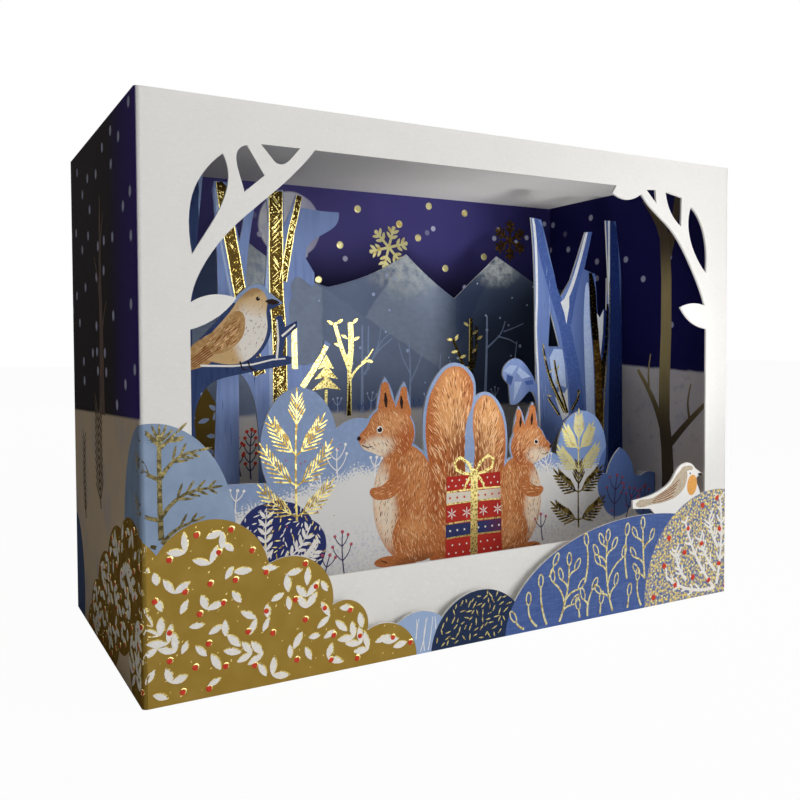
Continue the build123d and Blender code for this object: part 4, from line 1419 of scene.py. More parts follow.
# %% How a squirrel is drawn
def draw_squirrel(one):
    """Tail, body, haunch, paws and head, each a little prouder than the last."""
    coat_material = fur(one.name + "_coat", (
        one.patch_at(CREAM, -13.6, 27, 3.0, 9.5, 8, 0.9, 0.95),
        one.patch_at(UMBER, -3.4, 11.6, 9, 3.2, 0, 1.0, 0.55),
        one.patch_at((214, 146, 92), -4, 32, 3.0, 8.0, 8, 1.2, 0.6),
        one.patch_at(RUST, 1.2, 27, 2.4, 14, 4, 1.2, 0.6),
    ))
    haunch_material = fur(one.name + "_haunch", (
        one.patch_at((220, 154, 98), -5.4, 20.6, 3.6, 3.4, 0, 1.2, 0.7),
        one.patch_at(UMBER, -3.4, 12.6, 7, 1.6, 0, 1.0, 0.5),
    ))
    head_material = fur(one.name + "_head", (
        one.patch_at(CREAM, -15.8, 40.6, 4.6, 2.6, 14, 0.9, 0.95),
        one.patch_at((222, 160, 108), -11.6, 46.2, 4.6, 2.8, 0, 1.2, 0.7),
        one.patch_at(RUST, -7.6, 41.2, 2.4, 4.4, 0, 1.1, 0.6),
    ))
    tail_middle = [sum(values) / len(one.tail) for values in zip(*one.tail)]
    tail_material = fur(one.name + "_tail", (
        ((232, 176, 118), tail_middle[0], tail_middle[1] + 12 * one.scale, 4.6, 9, 0, 1.2, 0.7),
        (UMBER, tail_middle[0] + 2.5 * one.mirror, tail_middle[1] - 6, 3, 14, 0, 1.2, 0.5),
    ), base=(178, 98, 52))
    body = one.oval(-7.4, 27, 9.0, 14.2, 6)
    haunch = one.oval(-4.2, 19.0, 7.2, 6.4, -8)
    head = one.shape([
        (-20.0, 43.6), (-18.2, 45.6), (-15.6, 49.2), (-12.0, 50.2), (-8.0, 49.2), (-5.6, 45.8),
        (-5.6, 41.8), (-8.4, 38.6), (-12.4, 38.2), (-16.4, 39.6), (-19.4, 41.2),
    ])
    ears = [
        one.shape([(-14.6, 48.6), (-14.5, 52.4), (-13.2, 56.2), (-11.6, 53.2), (-10.8, 48.6)]),
        one.shape([(-10.2, 48.8), (-9.4, 52.2), (-8.0, 55.0), (-7.1, 52.0), (-6.6, 47.4)]),
    ]
    arm = one.shape([
        (-9.2, 35.0), (-8.2, 32.2), (-10.0, 29.6), (-13.4, 28.4), (-16.8, 29.4), (-17.2, 31.0),
        (-14.6, 31.6), (-12.4, 33.0), (-11.4, 35.4),
    ])
    for part, outline, top, material in (
        ("tail", one.tail, 0.03, tail_material), ("body", body, 0.045, coat_material),
        ("far_ear", ears[0], 0.045, haunch_material), ("near_ear", ears[1], 0.045, haunch_material),
        ("head", head, 0.065, head_material), ("haunch", haunch, 0.06, haunch_material),
        ("far_foot", one.oval(-12.6, 13.6, 3.6, 1.3), 0.05, haunch_material),
        ("near_foot", one.oval(-8.6, 13.4, 5.2, 1.5, 2), 0.07, haunch_material),
        ("arm", arm, 0.07, haunch_material),
    ):
        print_patch(one.name + "_" + part, on_branch, material, top, outline)

    def tail_lie(s, z):
        return 90 + (s - tail_middle[0]) * -7 + (12 if z > tail_middle[1] else 0) * one.mirror

    light_fur, dark_fur = Plate(0.07), Plate(0.065)
    for outline, lie, count, dark_count, length, dark_length, top in (
        (body, one.lie(262), 520, 416, 1.3, 1.2, 0.055),
        (haunch, one.lie(262) + one.mirror * 30, 170, 136, 1.3, 1.2, 0.075),
        (head, one.lie(300), 170, 136, 1.3, 1.2, 0.08),
        (arm, one.lie(200), 40, 32, 1.3, 1.2, 0.085),
        (one.tail, tail_lie, 620, 460, 2.0, 1.9, 0.04),
    ):
        comb(light_fur, one.rng, outline, lie, count, length, top)
        comb(dark_fur, one.rng, outline, lie, dark_count, dark_length, top - 0.004)

    face_dark, face_light = Plate(0.095), Plate(0.105)
    face_light.dot(*one.at(-14.6, 45.0), 2.3 * one.scale, top=0.085)
    face_dark.dot(*one.at(-14.6, 45.0), 1.75 * one.scale)
    face_light.dot(*one.at(-14.9, 45.4), 0.5 * one.scale)
    face_dark.dot(*one.at(-20.0, 43.2), 1.2 * one.scale)
    face_dark.stroke(one.shape([(-19.2, 41.6), (-18.0, 41.0), (-16.6, 41.2)]), 0.28, 0.16)
    for x, z, reach in ((-12.8, 49.6, 4.4), (-8.6, 49.4, 3.6)):
        face_dark.stamp(needle_die, *one.at(x, z), one.lie(94), reach * one.scale, 5.0 * one.scale, top=0.055)
    for toe in range(3):
        root = one.at(-12.6 - toe * 0.5, 13.2 + toe * 0.25)
        face_dark.stroke([root, turned(root, one.lie(150), 0.5), turned(root, one.lie(165), 1.0)], 0.2, 0.12)
    for plate, part, material in (
        (light_fur, "light_fur", cream_pencil), (dark_fur, "dark_fur", umber_pencil),
        (face_dark, "eye_and_nose", umber_ink), (face_light, "eye_rim", white_ink),
    ):
        plate.lay(one.name + "_" + part, on_branch, material)


# %% Both squirrels
cream_pencil = small_ink("cream_pencil", (238, 190, 140), (250, 222, 184))
umber_pencil = small_ink("umber_pencil", (128, 68, 38), (160, 92, 54))
umber_ink = small_ink("umber_ink", (40, 28, 26), (62, 44, 38))

draw_squirrel(Squirrel(
    "larger_squirrel", (-7.4, 27), 1.0, 1,
    [(-1.0, 12.6), (1.0, 24), (-1.2, 36), (-2.0, 46.6), (0.6, 55.2), (6.2, 59.6), (11.0, 56.6),
     (11.6, 50.8), (9.6, 45.0), (9.2, 36), (10.2, 24), (9.6, 12.6)], 21))
draw_squirrel(Squirrel(
    "smaller_squirrel", (25.2, 24), 0.865, -1,
    [(22.0, 12.6), (19.6, 22), (20.8, 32), (21.6, 41), (19.8, 48.2), (15.6, 52.2), (12.6, 50.4),
     (11.6, 45.8), (12.2, 38), (10.6, 26), (11.0, 12.6)], 22))

# %% The parcel between the tails
parcel_left, parcel_right, parcel_foot, parcel_top = 3.4, 20.4, 12.0, 32.6
parcel_paint = Painter("parcel_paper", (188, 52, 44), wobble=0.1)
parcel_paint.mottle(1.6, 0.14)
for foot, top, colour in ((17.4, 20.6, (52, 58, 104)), (25.8, 28.4, (230, 222, 206))):
    parcel_paint.lay(colour, parcel_paint.less(
        parcel_paint.above(12, foot, soft=0.08), parcel_paint.above(12, top, soft=0.08)))
parcel_paint.lay((146, 34, 32), parcel_paint.right_of(17.5, soft=3.5), 0.4)
parcel, parcel_foil, parcel_white, parcel_red = Plate(0.09), Plate(0.125), Plate(0.11), Plate(0.11)
parcel.facets([(parcel_left, parcel_foot), (parcel_right, parcel_foot + 0.3),
               (parcel_right - 0.5, parcel_top), (parcel_left + 0.5, parcel_top - 0.2)])
for z in (17.2, 20.8, 25.6, 28.6):
    parcel_foil.stroke(arc((parcel_left + 0.4, z), (parcel_right - 0.5, z + 0.1), 0.01, 6), 0.42)
parcel_foil.stroke(arc((11.8, parcel_foot + 0.2), (12.0, parcel_top), 0.0, 6), 2.1)
for side in (-1, 1):
    for start_width, end_width, *loop in (
        (0.8, 0.7, (0.3, 32.8), (1.8, 35.4), (4.2, 37.0), (5.8, 36.0), (5.4, 34.0), (3.0, 32.9), (0.6, 32.6)),
        (0.9, 0.5, (0.4, 32.6), (2.0, 31.0), (3.2, 28.8)),
    ):
        parcel_foil.stroke([(12 + side * x, z) for x, z in loop], start_width, end_width)
parcel_foil.dot(12, 33.0, 1.9, top=0.16)
for row, z in enumerate((13.4, 15.4, 30.0, 31.4)):
    for column in range(9):
        s = parcel_left + 1.0 + 2.1 * (column + row % 2 / 2)
        if s < parcel_right - 0.8:
            parcel_white.dot(s, z, 0.62)
for i in range(4):
    for ray in range(6):
        parcel_white.stamp(needle_die, 5.3 + i * 4.4 + (0.6 if i > 1 else 0), 23.2, 30 + 60 * ray, 1.5, 1.6)
for i in range(8):
    parcel_red.dot(parcel_left + 1.4 + i * 2.1, 27.1, 0.8)
    parcel_white.stamp(speck_die, parcel_left + 1.4 + i * 2.1, 19.0, 45, 0.8)
lay_all(on_branch, (parcel, "parcel_paper_print", parcel_paint.finish(grain=0.4)),
        (parcel_white, "parcel_white_pattern", white_ink), (parcel_red, "parcel_red_pattern", red_ink),
        (parcel_foil, "parcel_ribbon", line_foil))

# %% [markdown]
# ## Two small birds
#
# One songbird sits on the bough, printed on the front layer, and a smaller bird on the royal blue
# bush, printed on the white front itself. They are drawn as the squirrels are: flat outlines, soft
# patches, and strokes for the feathers.

# %% The songbird on the bough
plumage = Painter("songbird_plumage", (206, 172, 122), wobble=0.4, wobble_size=1.2)
plumage.mottle(1.4, 0.14, detail=5.0)
plumage.lay((236, 231, 222), plumage.oval(-44.4, 66.0, 5.0, 7.6, turn=14, soft=0.5), 0.95)
plumage.lay((226, 196, 150), plumage.oval(-44.4, 73.4, 2.8, 2.2, soft=0.8), 0.5)
plumage.lay((150, 112, 72), plumage.oval(-46.2, 77.4, 4.4, 1.9, turn=20, soft=0.7), 0.6)
breast = plumage.oval(-45, 67, 4.6, 6.6, soft=0.4)
plumage.lay((150, 120, 92), plumage.both(breast, plumage.spots(0.75, 0.16, 0.05)), 0.75)
plumage_material = plumage.finish(grain=0.4)
wing_paint = Painter("songbird_wing", (178, 136, 84), wobble=0.3)
wing_paint.lay((214, 184, 138), wing_paint.spots(1.0, 0.35, 0.2, detail=4.0), 0.7)
wing_paint.lay((112, 80, 56), wing_paint.spots(0.6, 0.2, 0.1, detail=3.0), 0.6)
wing_material = wing_paint.finish(grain=0.4)

songbird_body = [(-42.3, 75.4), (-44.6, 77.2), (-47.4, 75.8), (-50.6, 71.8), (-54.6, 67.4), (-57.2, 64.6),
                 (-56.4, 62.6), (-52, 60.9), (-47.8, 61.2), (-44.2, 63.8), (-42.2, 67.8), (-42.3, 72.0)]
songbird_wing = [(-48.4, 72.2), (-52.2, 69.0), (-57.6, 63.8), (-54.0, 63.0), (-49.4, 64.8), (-47.2, 68.6)]
print_patch("songbird_tail", on_branch, wing_material, 0.035,
            [(-55.0, 66.2), (-60.8, 61.2), (-60.6, 59.9), (-58.6, 59.8), (-53.6, 62.8)])
print_patch("songbird_body", on_branch, plumage_material, 0.045, songbird_body)
print_patch("songbird_wing", on_branch, wing_material, 0.065, songbird_wing)
rng = random.Random(31)
feathers_dark, feathers_light, bird_ink, bird_glint = Plate(0.08), Plate(0.085), Plate(0.09), Plate(0.1)
comb(feathers_dark, rng, songbird_wing, 224, 110, 1.7, 0.075)
comb(feathers_light, rng, songbird_wing, 224, 90, 1.5, 0.08)
comb(feathers_dark, rng, songbird_body, 240, 90, 0.8, 0.055)
for i in range(5):
    feather = arc((-55.4 + i * 0.3, 64.4 - i * 0.35), (-60.4 + i * 0.5, 60.8 - i * 0.15), 0.0, 3)
    feathers_dark.stroke(feather, 0.24, 0.16)
bird_ink.dot(-44.2, 74.9, 1.15)
bird_ink.stamp(leaf_die, -42.6, 74.4, -4, 3.4, 3.0, top=0.08)
for foot in (-48.4, -46.6):
    bird_ink.stroke([(foot, 61.4), (foot + 0.3, 60.4), (foot + 0.9, 59.5)], 0.34, 0.26)
    bird_ink.stroke([(foot + 0.9, 59.6), (foot + 1.7, 59.6)], 0.3, 0.2)
bird_glint.dot(-44.0, 75.1, 0.34)
lay_all(on_branch, (feathers_dark, "songbird_dark_feathers", umber_pencil),
        (feathers_light, "songbird_light_feathers", cream_pencil),
        (bird_ink, "songbird_eye_beak_and_legs", umber_ink), (bird_glint, "songbird_glint", white_ink))

# %% Snow along the bough and its twig
bough_snow = Plate(0.06)
for start_width, end_width, *path in (
    (0.45, 0.3, (-57, 60.6), (-50, 60.4), (-45.5, 60.7), (-41, 61.7), (-38, 61.9)),
    (0.5, 0.35, (-40.0, 62.0), (-39.6, 66.0), (-39.9, 70.4)),
    (0.5, 0.35, (-38.8, 66.8), (-36.8, 68.4), (-35.6, 69.4)),
):
    bough_snow.stroke(path, start_width, end_width)
bough_snow.lay("bough_snow", on_branch, white_ink)

# %% The small bird at the front
finch_paint = Painter("finch_back_ink", (196, 182, 160), wobble=0.3)
finch_paint.lay((160, 142, 118), finch_paint.spots(0.8, 0.35, 0.2, detail=4.0), 0.7)
print_patch(
    "finch_back", on_front, finch_paint.finish(grain=0.4), 0.04,
    [(59.8, 33.4), (57.2, 32.3), (54.8, 29.8), (51.6, 28.0), (48.4, 26.9), (43.2, 26.2), (43.2, 25.4),
     (48.6, 25.3), (53, 25.6), (57.6, 27.0), (60.2, 29.8)],
    [(62.6, 33.2), (60.6, 34.0), (58.2, 33.0), (58.8, 32.4), (61.0, 32.8)])
print_patch("finch_breast", on_front, small_ink("ochre_ink", (230, 164, 84), (240, 186, 116)), 0.045,
            ellipse_outline(62.3, 29.0, 1.7, 2.6, turn=-8))
finch_ink, finch_lines = Plate(0.06), Plate(0.055)
finch_ink.dot(61.6, 32.0, 0.55)
finch_ink.stamp(leaf_die, 64.3, 31.6, -4, 1.7, 1.6)
for i in range(5):
    feather = arc((57.6 - i * 0.5, 30.6 - i * 0.95), (50.6 - i * 0.6, 27.4 - i * 0.4), 0.05, 4)
    finch_lines.stroke(feather, 0.24, 0.14)
lay_all(on_front, (finch_lines, "finch_wing_lines", umber_pencil),
        (finch_ink, "finch_eye_and_beak", umber_ink))

# %% [markdown]
# ## Foil birches and bark
#
# Behind the hill stand the trees. Two trunks of the left-hand group are birches wholly in foil, painted
# dark for the dark that the foil mirrors, between bright rims, and each has a paler line of snow along
# its left edge. The right-hand group has crossing boughs in two blues. All of it is broad strokes on the
# tree layer.

# %% Birches
birch_foil, birch_rims, tree_snow, tree_dark, tree_deep, tree_cream, tree_brown = (
    Plate(top, sheet="tree_panel") for top in (0.06, 0.075, 0.04, 0.03, 0.026, 0.05, 0.07))


def from_left(*places):
    """Places measured from the card's left edge."""
    return [(left_face + along, up) for along, up in places]


def birch(seed, hatches, lengths, start_width, end_width, *places):
    """A trunk of dark foil with bright raised rims, and bright strokes hatched across it in clumps."""
    rng = random.Random(seed)
    path = along_path(from_left(*places), lengths)
    birch_foil.stroke(path, start_width, end_width)

    def half_width(step):
        return (start_width + (end_width - start_width) * step / lengths) / 2

    for side in (-1, 1):
        rim = [turned(place, heading(path, step) + 90 * side, half_width(step) * 0.94)
               for step, place in enumerate(path)]
        birch_rims.stroke([turned(place, rng.uniform(0, 360), rng.uniform(0, 0.08)) for place in rim], 0.15)
    for _ in range(hatches):
        step = rng.randrange(lengths)
        lean = (42, 130, 48, 38, 126)[step % 5]
        for hatch in range(rng.choice((2, 3, 4))):
            middle = between(path[step], path[step + 1], min(rng.random() * 0.5 + hatch * 0.16, 0.98))
            reach = half_width(step) * rng.uniform(1.1, 1.9)
            birch_rims.stamp(needle_die, *turned(middle, lean + 180, reach / 2), lean, reach, 0.5)


# %% The left-hand trees
birch(1, 10, 14, 3.0, 2.9, (27.2, 103.6), (28.8, 92), (30.2, 84), (31.6, 76), (33.2, 68), (36, 58))
birch(2, 28, 18, 3.5, 3.7,
      (40.3, 103.2), (40.3, 90), (40.3, 78), (41.0, 66), (41.0, 50), (41.1, 34), (41.1, 24))
birch(3, 8, 8, 1.8, 1.3, (42.0, 80), (43.2, 86.4), (44.2, 92), (45.2, 95.6), (46.8, 102.4))
rng = random.Random(31)
for *ends, half, low, high, count in (
    ((41.1, 24), (40.4, 100), 1.5, 0.0, 0.62, 210), ((41.1, 24), (40.4, 100), 1.5, 0.88, 1.0, 34),
    ((30.2, 84), (27.6, 100.6), 1.2, 0.55, 1.0, 26), ((43.2, 86.4), (46, 99.4), 0.6, 0.0, 1.0, 30),
):
    for _ in range(count):
        s, z = between(*from_left(*ends), rng.uniform(low, high))
        s += rng.uniform(-half, half)
        birch_rims.stamp(speck_die, s, z, rng.uniform(0, 90), rng.uniform(0.35, 0.8), rng.uniform(0.25, 0.5))
birch_rims.strokes(4, (1.5, 1.3, *from_left((44.8, 59.2), (44.7, 64), (44.7, 69.6))))
birch_rims.strokes(5, (1.5, 1.3, *from_left((46.6, 54.8), (49.8, 59.2), (53.0, 64.7))))
for s, z in from_left((45.4, 61.6), (45.5, 66.6), (48.6, 58.4), (51.0, 62.6)):
    birch_rims.stamp(leaf_die, s, z, 40, 1.6)
tree_snow.strokes(
    12, (0.5, 0.5, *from_left((25.9, 100.4), (26.8, 90), (28.2, 82), (29.6, 75), (31.2, 67), (33.6, 58))),
    (0.7, 0.9, *from_left((38.4, 99.6), (38.1, 88), (38.0, 78), (38.6, 66), (38.8, 50), (38.8, 34))))
tree_snow.strokes(4, (1.1, 0.6, *from_left((45.4, 54.4), (46.8, 53.8), (48.2, 55.8))))

# %% The right-hand trees
tree_dark.strokes(
    18, (2.6, 5.4, (42.2, 101.0), (44.3, 91.2), (46.7, 84.4), (49.4, 77.4), (52.1, 70.8), (54.0, 63.2),
         (55.8, 56.1), (57.1, 45.9), (58.4, 24)))
tree_dark.strokes(10, (2.3, 2.8, (62.0, 98.6), (59.1, 90.0), (57.0, 84.7), (54.8, 77.5), (53.3, 70.9)))
tree_dark.facets([(31.5, 54.4), (33.4, 53.6), (34.2, 56.0), (32.0, 56.6)],
                 [(38.0, 54.6), (41.0, 55.0), (41.2, 53.7), (38.8, 53.6)])
tree_deep.strokes(14, (3.4, 6.0, (70.2, 102.6), (70.9, 85.2), (71.7, 68.1), (71.6, 43.4), (71.8, 24)))
tree_cream.strokes(
    12, (0.9, 0.6, (40.9, 101.0), (42.0, 91.1), (42.3, 77.2), (42.0, 68.0), (42.8, 55.9), (43.4, 40)),
    (0.9, 1.3, (60.6, 98.0), (57.9, 89.5), (55.2, 82.3), (52.8, 77.6)),
    (0.8, 0.5, (68.8, 102.2), (68.9, 85.6), (68.7, 76)))
tree_cream.facets(
    [(50.8, 76.8), (52.4, 78.0), (53.9, 79.4), (53.9, 75.6), (52.9, 70.6), (52.1, 73.8)],
    [(64.2, 74.0), (65.4, 72.6), (66.9, 75.1), (66.6, 68.1), (65.7, 60.6), (64.9, 66.0)],
    [(48.9, 49.6), (50.2, 51.6), (52.2, 50.9), (53.3, 52.4), (53.8, 44.6), (51.6, 43.2)])
tree_snow.facets([(30.9, 57.6), (33.0, 59.2), (35.6, 59.0), (33.6, 56.6)],
                 [(36.2, 58.6), (40.2, 55.9), (37.2, 55.4), (35.4, 57.2)],
                 [(34.6, 54.6), (37.2, 54.6), (35.6, 51.6), (34.2, 49.0)])
tree_snow.patch([(60.4, 82.6), (60.9, 82.6), (61.6, 72.9), (62.9, 60.8), (63.5, 45.7), (63.6, 30), (60.6, 30),
                 (60.4, 45.8), (59.6, 62.2), (59.4, 75.2)])
tree_snow.facets([(46.8, 61.2), (48.4, 63.6), (51.4, 63.4), (52.2, 59.4), (52.9, 52.4), (50.2, 53.4),
                  (48.4, 51.6)])
notch_web = Plate(0.03, foot=-0.48)
notch_web.facets([(63.9, 74.0), (65.4, 72.6), (67.0, 75.2), (68.6, 74.4), (68.6, 61.8), (64.6, 61.8)])
birch_foil.strokes(
    10, (2.2, 3.4, (62.2, 88.0), (63.1, 72.9), (64.3, 64), (65.2, 54), (65.4, 40), (65.4, 28)),
    (1.3, 1.8, (67.8, 84.0), (68.1, 73.0), (67.1, 61.2), (66.2, 52)))
tree_brown.strokes(8, (2.3, 3.4, (64.0, 66.0), (65.0, 54), (65.4, 40), (65.4, 28)))
for start_width, end_width, *places in (
    (0.6, 1.3, (44.6, 63.8), (45.8, 58.6), (48.2, 52.9), (52.5, 45.6)),
    (0.6, 1.1, (48.5, 60.4), (49.7, 54.8), (51.9, 49.0), (53.2, 45.2)),
    (0.7, 1.0, (57.4, 51.7), (57.2, 49.4), (54.9, 46.0)),
    (0.6, 0.8, (46.4, 49.7), (48.8, 46.7), (50.4, 44.6)),
):
    twig = along_path(places, 8)
    birch_foil.stroke(twig, start_width, end_width)
    birch_rims.stroke([turned(place, 200, start_width * 0.45) for place in twig], 0.24, 0.3)
birch_rims.strokes(8, (0.35, 0.45, (69.1, 83.0), (69.3, 73), (68.0, 58.3), (67.0, 46), (66.9, 28)))
for stub in ((45.6, 60.4, 120), (46.6, 56.8, 40), (48.4, 52.2, 130), (49.4, 57.4, 60), (50.2, 53.4, 140),
             (57.2, 50.2, 60), (47.6, 50.2, 170), (44.8, 63.4, 100)):
    birch_rims.stamp(leaf_die, *stub, 1.8, 1.2)

# %% Light and dark bark, drawn along the blue trunks
rng = random.Random(9)
for _ in range(120):
    s, z = rng.choice([(rng.uniform(*along), rng.uniform(*up)) for along, up in (
        ((left_face + 12.8, left_face + 24), (24, 70)), ((left_face + 26, left_face + 43), (24, 96)),
        ((42.5, 50), (26, 84)))])
    plate, length, width, top = (
        (tree_dark, (2.5, 6), 0.7, 0.028) if rng.random() < 0.55 else (tree_snow, (2, 5), 0.55, 0.03))
    plate.stamp(needle_die, s, z, 90 + rng.uniform(-7, 7), rng.uniform(*length), width, top=top)

deep_ink = small_ink("deep_blue_ink", (28, 46, 104), (44, 64, 124))
cream_ink = small_ink("cream_snow_ink", (224, 228, 232), (246, 246, 240))
lay_all(on_trees, (birch_foil, "birch_foil", painted_dark_foil), (birch_rims, "birch_rims_and_twigs", line_foil),
        (tree_brown, "right_trunk_brown_foil", brown_foil), (tree_deep, "tree_deep_bark", deep_ink),
        (notch_web, "tree_notch_web", deep_ink), (tree_cream, "tree_cream_snow", cream_ink),
        (tree_dark, "tree_dark_bark", dusk_ink), (tree_snow, "tree_snow_edges", frost_ink))

# %% [markdown]
# ## Small trees before the mountains
#
# At the foot of the mountains are forked foil saplings, a small foil fir, thin pale trees and white
# berry stems, all small and far off. A sapling is two or three strokes with short stubs of twig.

# %% Saplings
sapling_foil, sapling_bark, sapling_pale, sapling_dots, sapling_dark, bush_sprigs, bush_reds = (
    Plate(top, sheet="mountain_panel") for top in (0.06, 0.045, 0.035, 0.05, 0.04, 0.05, 0.07))
sapling_foil.strokes(
    6, (1.5, 1.2, (-5.2, 45.4), (-5.0, 52), (-5.0, 59)), (1.3, 1.1, (-5.0, 58.4), (-7.4, 64.4), (-9.4, 71.0)),
    (1.6, 1.6, (-5.0, 58.4), (-4.4, 64.8), (-4.6, 71.2)), (0.7, 0.5, (-4.8, 55.4), (-2.6, 58.4), (0.6, 60.6)),
    (0.45, 0.3, (-1.2, 60.0), (0.8, 61.6), (2.4, 63.8)))
sapling_bark.strokes(
    6, (1.7, 1.4, (35.1, 46.0), (35.2, 60), (35.2, 72.8)),
    (1.1, 0.8, (35.0, 52.4), (32.2, 59.4), (29.0, 66.4)), (0.9, 0.8, (36.2, 58), (37.2, 64), (37.2, 70.4)))
sapling_bark.stroke(along_path([(-5.2, 45.4), (-5.1, 50), (-5.0, 55)], 6), 1.2, 0.3, top=0.08)
sapling_foil.strokes(4, (0.35, 0.3, (34.6, 60), (34.7, 66), (34.8, 72.6)))
for stub in ((-9.6, 70.4, 150), (-8.8, 70.8, 30), (-7.4, 64.6, 160), (-4.0, 70.8, 40), (-5.4, 66.6, 150),
             (-3.8, 66.2, 24), (-3.8, 62.6, 200), (0.2, 60.6, -10), (35.8, 68.0, 30), (34.6, 70.4, 150),
             (30.6, 63.0, 190), (31.4, 61.0, 20), (29.6, 66.0, 60), (29.0, 66.2, 170), (37.4, 66.4, 30),
             (35.6, 62.4, 40), (32.6, 57.8, 10)):
    sapling_foil.stamp(leaf_die, *stub, 2.3, 2.2)
for z, half in ((52.6, 4.4), (55.6, 3.5), (58.4, 2.4)):
    sapling_foil.facets([(-12.0 - half, z), (-12.0, z + 0.7), (-12.0 + half, z), (-11.9, z + 3.9)])
sapling_foil.stroke([(-12.1, 46.6), (-12.1, 49.6), (-12.0, 52.8)], 0.9, 0.8)

# %% Pale trees, and stems with berries
sapling_pale.strokes(
    6, (1.0, 0.5, (-1.1, 46), (-1.0, 58), (-0.9, 70.4)), (0.7, 0.4, (0.9, 58), (0.9, 64), (1.0, 70.2)),
    (0.6, 0.3, (-0.4, 56.6), (3.4, 62.6), (8.6, 66.8)), (0.4, 0.25, (3.2, 62.6), (5.2, 66.0), (8.0, 68.4)),
    (0.4, 0.2, (2.0, 61.0), (4.0, 65.0), (5.0, 70.0)), (1.0, 0.5, (40.4, 50), (40.9, 62), (41.1, 73.6)),
    (0.5, 0.3, (41.2, 64), (46, 68), (47.8, 72)), (0.5, 0.3, (45.0, 67.4), (49.4, 66.4), (52.3, 65.0)),
    (0.4, 0.25, (47.2, 68.8), (51, 70), (54.8, 71.4)), (0.5, 0.3, (50.4, 52), (51.4, 60), (52.3, 66)),
    (0.7, 0.35, (14.0, 46), (14.4, 56), (14.0, 66)), (0.4, 0.25, (14.3, 54), (17.4, 60), (19.0, 65)),
    (0.4, 0.25, (14.2, 57), (11.8, 61.4), (10.6, 65.6)), (0.6, 0.3, (24.4, 46), (24.2, 54), (24.6, 62)),
    (0.35, 0.2, (24.2, 52), (27, 56.6), (28.0, 60.4)))
dotted_sprigs(
    sapling_dots, sapling_dots, 0.8, 0.25,
    ((1.6, 46.6), (2.2, 51.6), (3, 2.6)), ((-8.4, 46.4), (-8.6, 50.4), (3, 2.2)),
    ((5.4, 46.4), (5.0, 50.6), (3, 2.4)), ((-17.0, 46.4), (-17.4, 51.4), (3, 2.6)),
    ((-20.4, 46.4), (-20.8, 50.0), (3, 2.2)), ((20.0, 46.6), (20.4, 51.0), (3, 2.2)),
    ((44.4, 47.0), (44.0, 52.0), (3, 2.4)))
rng = random.Random(41)
for s, z in strewn(rng, [(-52, 44, 10, 14)], 3.4, (-62, -42), (31, 56), 1.0):
    sapling_dots.stamp(leaf_die, s, z, rng.uniform(0, 360), rng.uniform(2.4, 3.2), 3.0)
dotted_sprigs(
    bush_sprigs, bush_reds, 1.2, 0.4,
    ((-33.6, 30.0), (-33.2, 43.0), (1, 2.4), (2, 3.0), (3, 3.0), (4, 2.6), (5, 2.0)),
    ((-36.4, 31.0), (-37.0, 41.0), (2, 2.4), (4, 2.2)), ((-40.6, 30.0), (-40.4, 39.0), (2, 2.6), (4, 2.2)))
rng = random.Random(17)
for _ in range(46):
    sapling_dots.dot(rng.uniform(-60, 60), rng.uniform(50, 86), rng.uniform(0.6, 1.3), top=0.05)
for _ in range(70):
    sapling_dark.stamp(needle_die, rng.uniform(-20, 20), rng.uniform(45.4, 48), rng.uniform(40, 140),
                       rng.uniform(1.6, 4.2), 1.0)
lay_all(on_mountains, (sapling_pale, "mountain_pale_trees", slate_ink),
        (sapling_dark, "mountain_undergrowth", dusk_ink), (sapling_dots, "mountain_snow_dots", frost_ink),
        (sapling_foil, "mountain_foil_saplings", line_foil),
        (sapling_bark, "mountain_dark_sapling", painted_dark_foil),
        (bush_sprigs, "mountain_berry_twigs", plum_ink), (bush_reds, "mountain_red_berries", red_ink))

# %% [markdown]
# ## Stars, snowflakes and the wall's bare tree
#
# On the sky behind hang two foil snowflakes and a scatter of foil dots. A bare brown tree is printed
# on the right-hand wall inside, and another with brown fir sprigs on the outside of both sides.

# %% Snowflakes and stars
night_foil, dim_foil = Plate(0.05), Plate(0.05)


def snowflake(plate, middle, reach, tilt):
    """Six arms, each with two pairs of leaves and a knob at its end."""
    for turn in range(tilt, tilt + 360, 60):
        end = turned(middle, turn, reach)
        plate.stroke(arc(middle, end, 0, 3), 0.85, 0.7)
        plate.dot(*end, 1.4, top=0.055)
        for share in (0.45, 0.72):
            for lean in (-50, 50):
                start = turned(middle, turn, reach * share)
                plate.stamp(leaf_die, *start, turn + lean, reach * 0.42, reach * 0.4)
    plate.dot(*middle, 1.8, top=0.055)


snowflake(night_foil, (13.8, 93.8), 6.0, 14)
snowflake(dim_foil, (58.1, 98.4), 5.8, 30)
for star in ((27.7, 107.0), (17.4, 100.9), (23.9, 97.2), (-2.1, 93.7), (-8.9, 83.5), (40.7, 105.8),
             (33.6, 88.4), (3.6, 104.4), (-30.4, 104.2), (48.0, 92.6)):
    night_foil.dot(*star, 2.3)
# The stars and the nearer snowflake are in the pale foil, painted light.
lay_all(on_night, (night_foil, "night_snowflakes_and_stars", painted_light_foil),
        (dim_foil, "night_dim_snowflake", brown_foil))

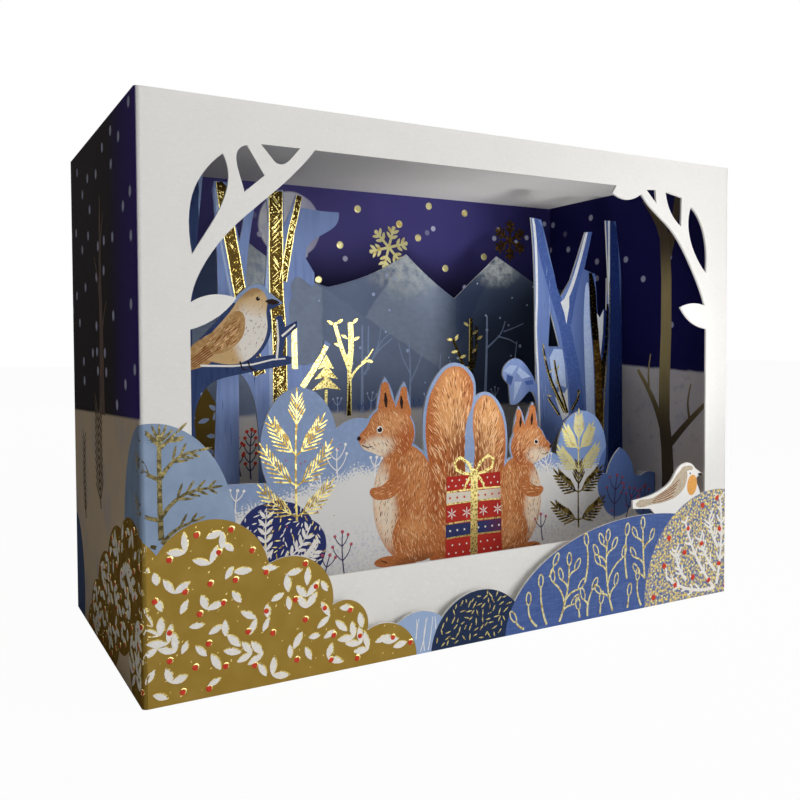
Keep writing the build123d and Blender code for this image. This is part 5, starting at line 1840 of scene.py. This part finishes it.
# %% The bare tree on the right-hand wall
bare_tree = Plate(0.05)
for start_width, end_width, *places in (
    (4.5, 3.2, (19.6, 22), (19.8, 33), (21.3, 47), (20.6, 68), (21.0, 92), (23.6, 100), (28.6, 106.8)),
    (3.0, 2.0, (20.8, 88), (18.0, 97), (16.6, 106.6)),
    (2.2, 1.0, (21.4, 40), (24.0, 46.5), (27.6, 52.4), (31.4, 57.4)),
    (0.8, 0.4, (27.0, 52.4), (27.2, 57.0), (26.4, 62.0)),
    (2.2, 1.2, (19.4, 36.4), (13.4, 42.6), (6.8, 48.6)),
    (0.8, 0.4, (12.0, 44.0), (12.6, 49), (11.6, 54.0)),
):
    bare_tree.strokes(10, (start_width, end_width, *((-depth - front_face, up) for depth, up in places)))
wall_bark = Painter("wall_bark_ink", (84, 72, 56), wobble=0.3)
# The paler band between 50 and 86 mm up is painted light, and the darker part above it painted shade; below
# the band the tree is darker too.
wall_bark.lay((184, 166, 112), wall_bark.both(
    wall_bark.above(0, 50, soft=12), wall_bark.below(0, 86, soft=8)), 0.75)
wall_bark.mottle(1.2, 0.25, stretch=(1, 1, 8), detail=4.0)
bare_tree.lay("right_wall_bare_tree", inside_right, wall_bark.finish(grain=0.4))

# %% Brown sprigs on the outside of the left and right sides
side_sprigs, side_trunk = Plate(0.05), Plate(0.04)


def round_edge(side, *places):
    """Places on a side wall, measured round from the edge of the front."""
    return [(side * (card_width / 2 + past), up) for past, up in places]


for side in (-1, 1):
    side_trunk.strokes(8, (6.0, 0.8, *round_edge(side, (34.0, 50.5), (33.6, 66), (34.2, 80), (33.4, 96))))
    for *ends, bow in (((34.0, 68), (40.6, 84), 0.1), ((33.8, 60), (27.6, 74), -0.12),
                       ((33.9, 80), (29.6, 92), -0.1)):
        side_trunk.stroke(arc(*round_edge(side, *ends), bow * side, 5), 1.6, 0.5)
    for *ends, needle in (((37.0, 30.0), (38.4, 50.0), 6.4), ((56.4, 24.6), (57.2, 43.0), 3.4)):
        path = arc(*round_edge(side, *ends), 0.04, 12)
        side_sprigs.stroke(path, 0.9, 0.5)
        for step in range(1, 13):
            for lean in (-46, 46):
                side_sprigs.stamp(stick_die, *path[step], heading(path, step) + lean, needle, needle * 0.6)
sprig_ink = small_ink("side_sprig_ink", (66, 50, 30), (96, 74, 44))
trunk_ink = small_ink("side_trunk_ink", (46, 26, 12), (84, 48, 16), size=3.0)
lay_all(round_outside, (side_sprigs, "side_brown_sprigs", sprig_ink),
        (side_trunk, "side_brown_trunk", trunk_ink))

# %% Bring the scene up to date at the end
bpy.context.view_layer.update()
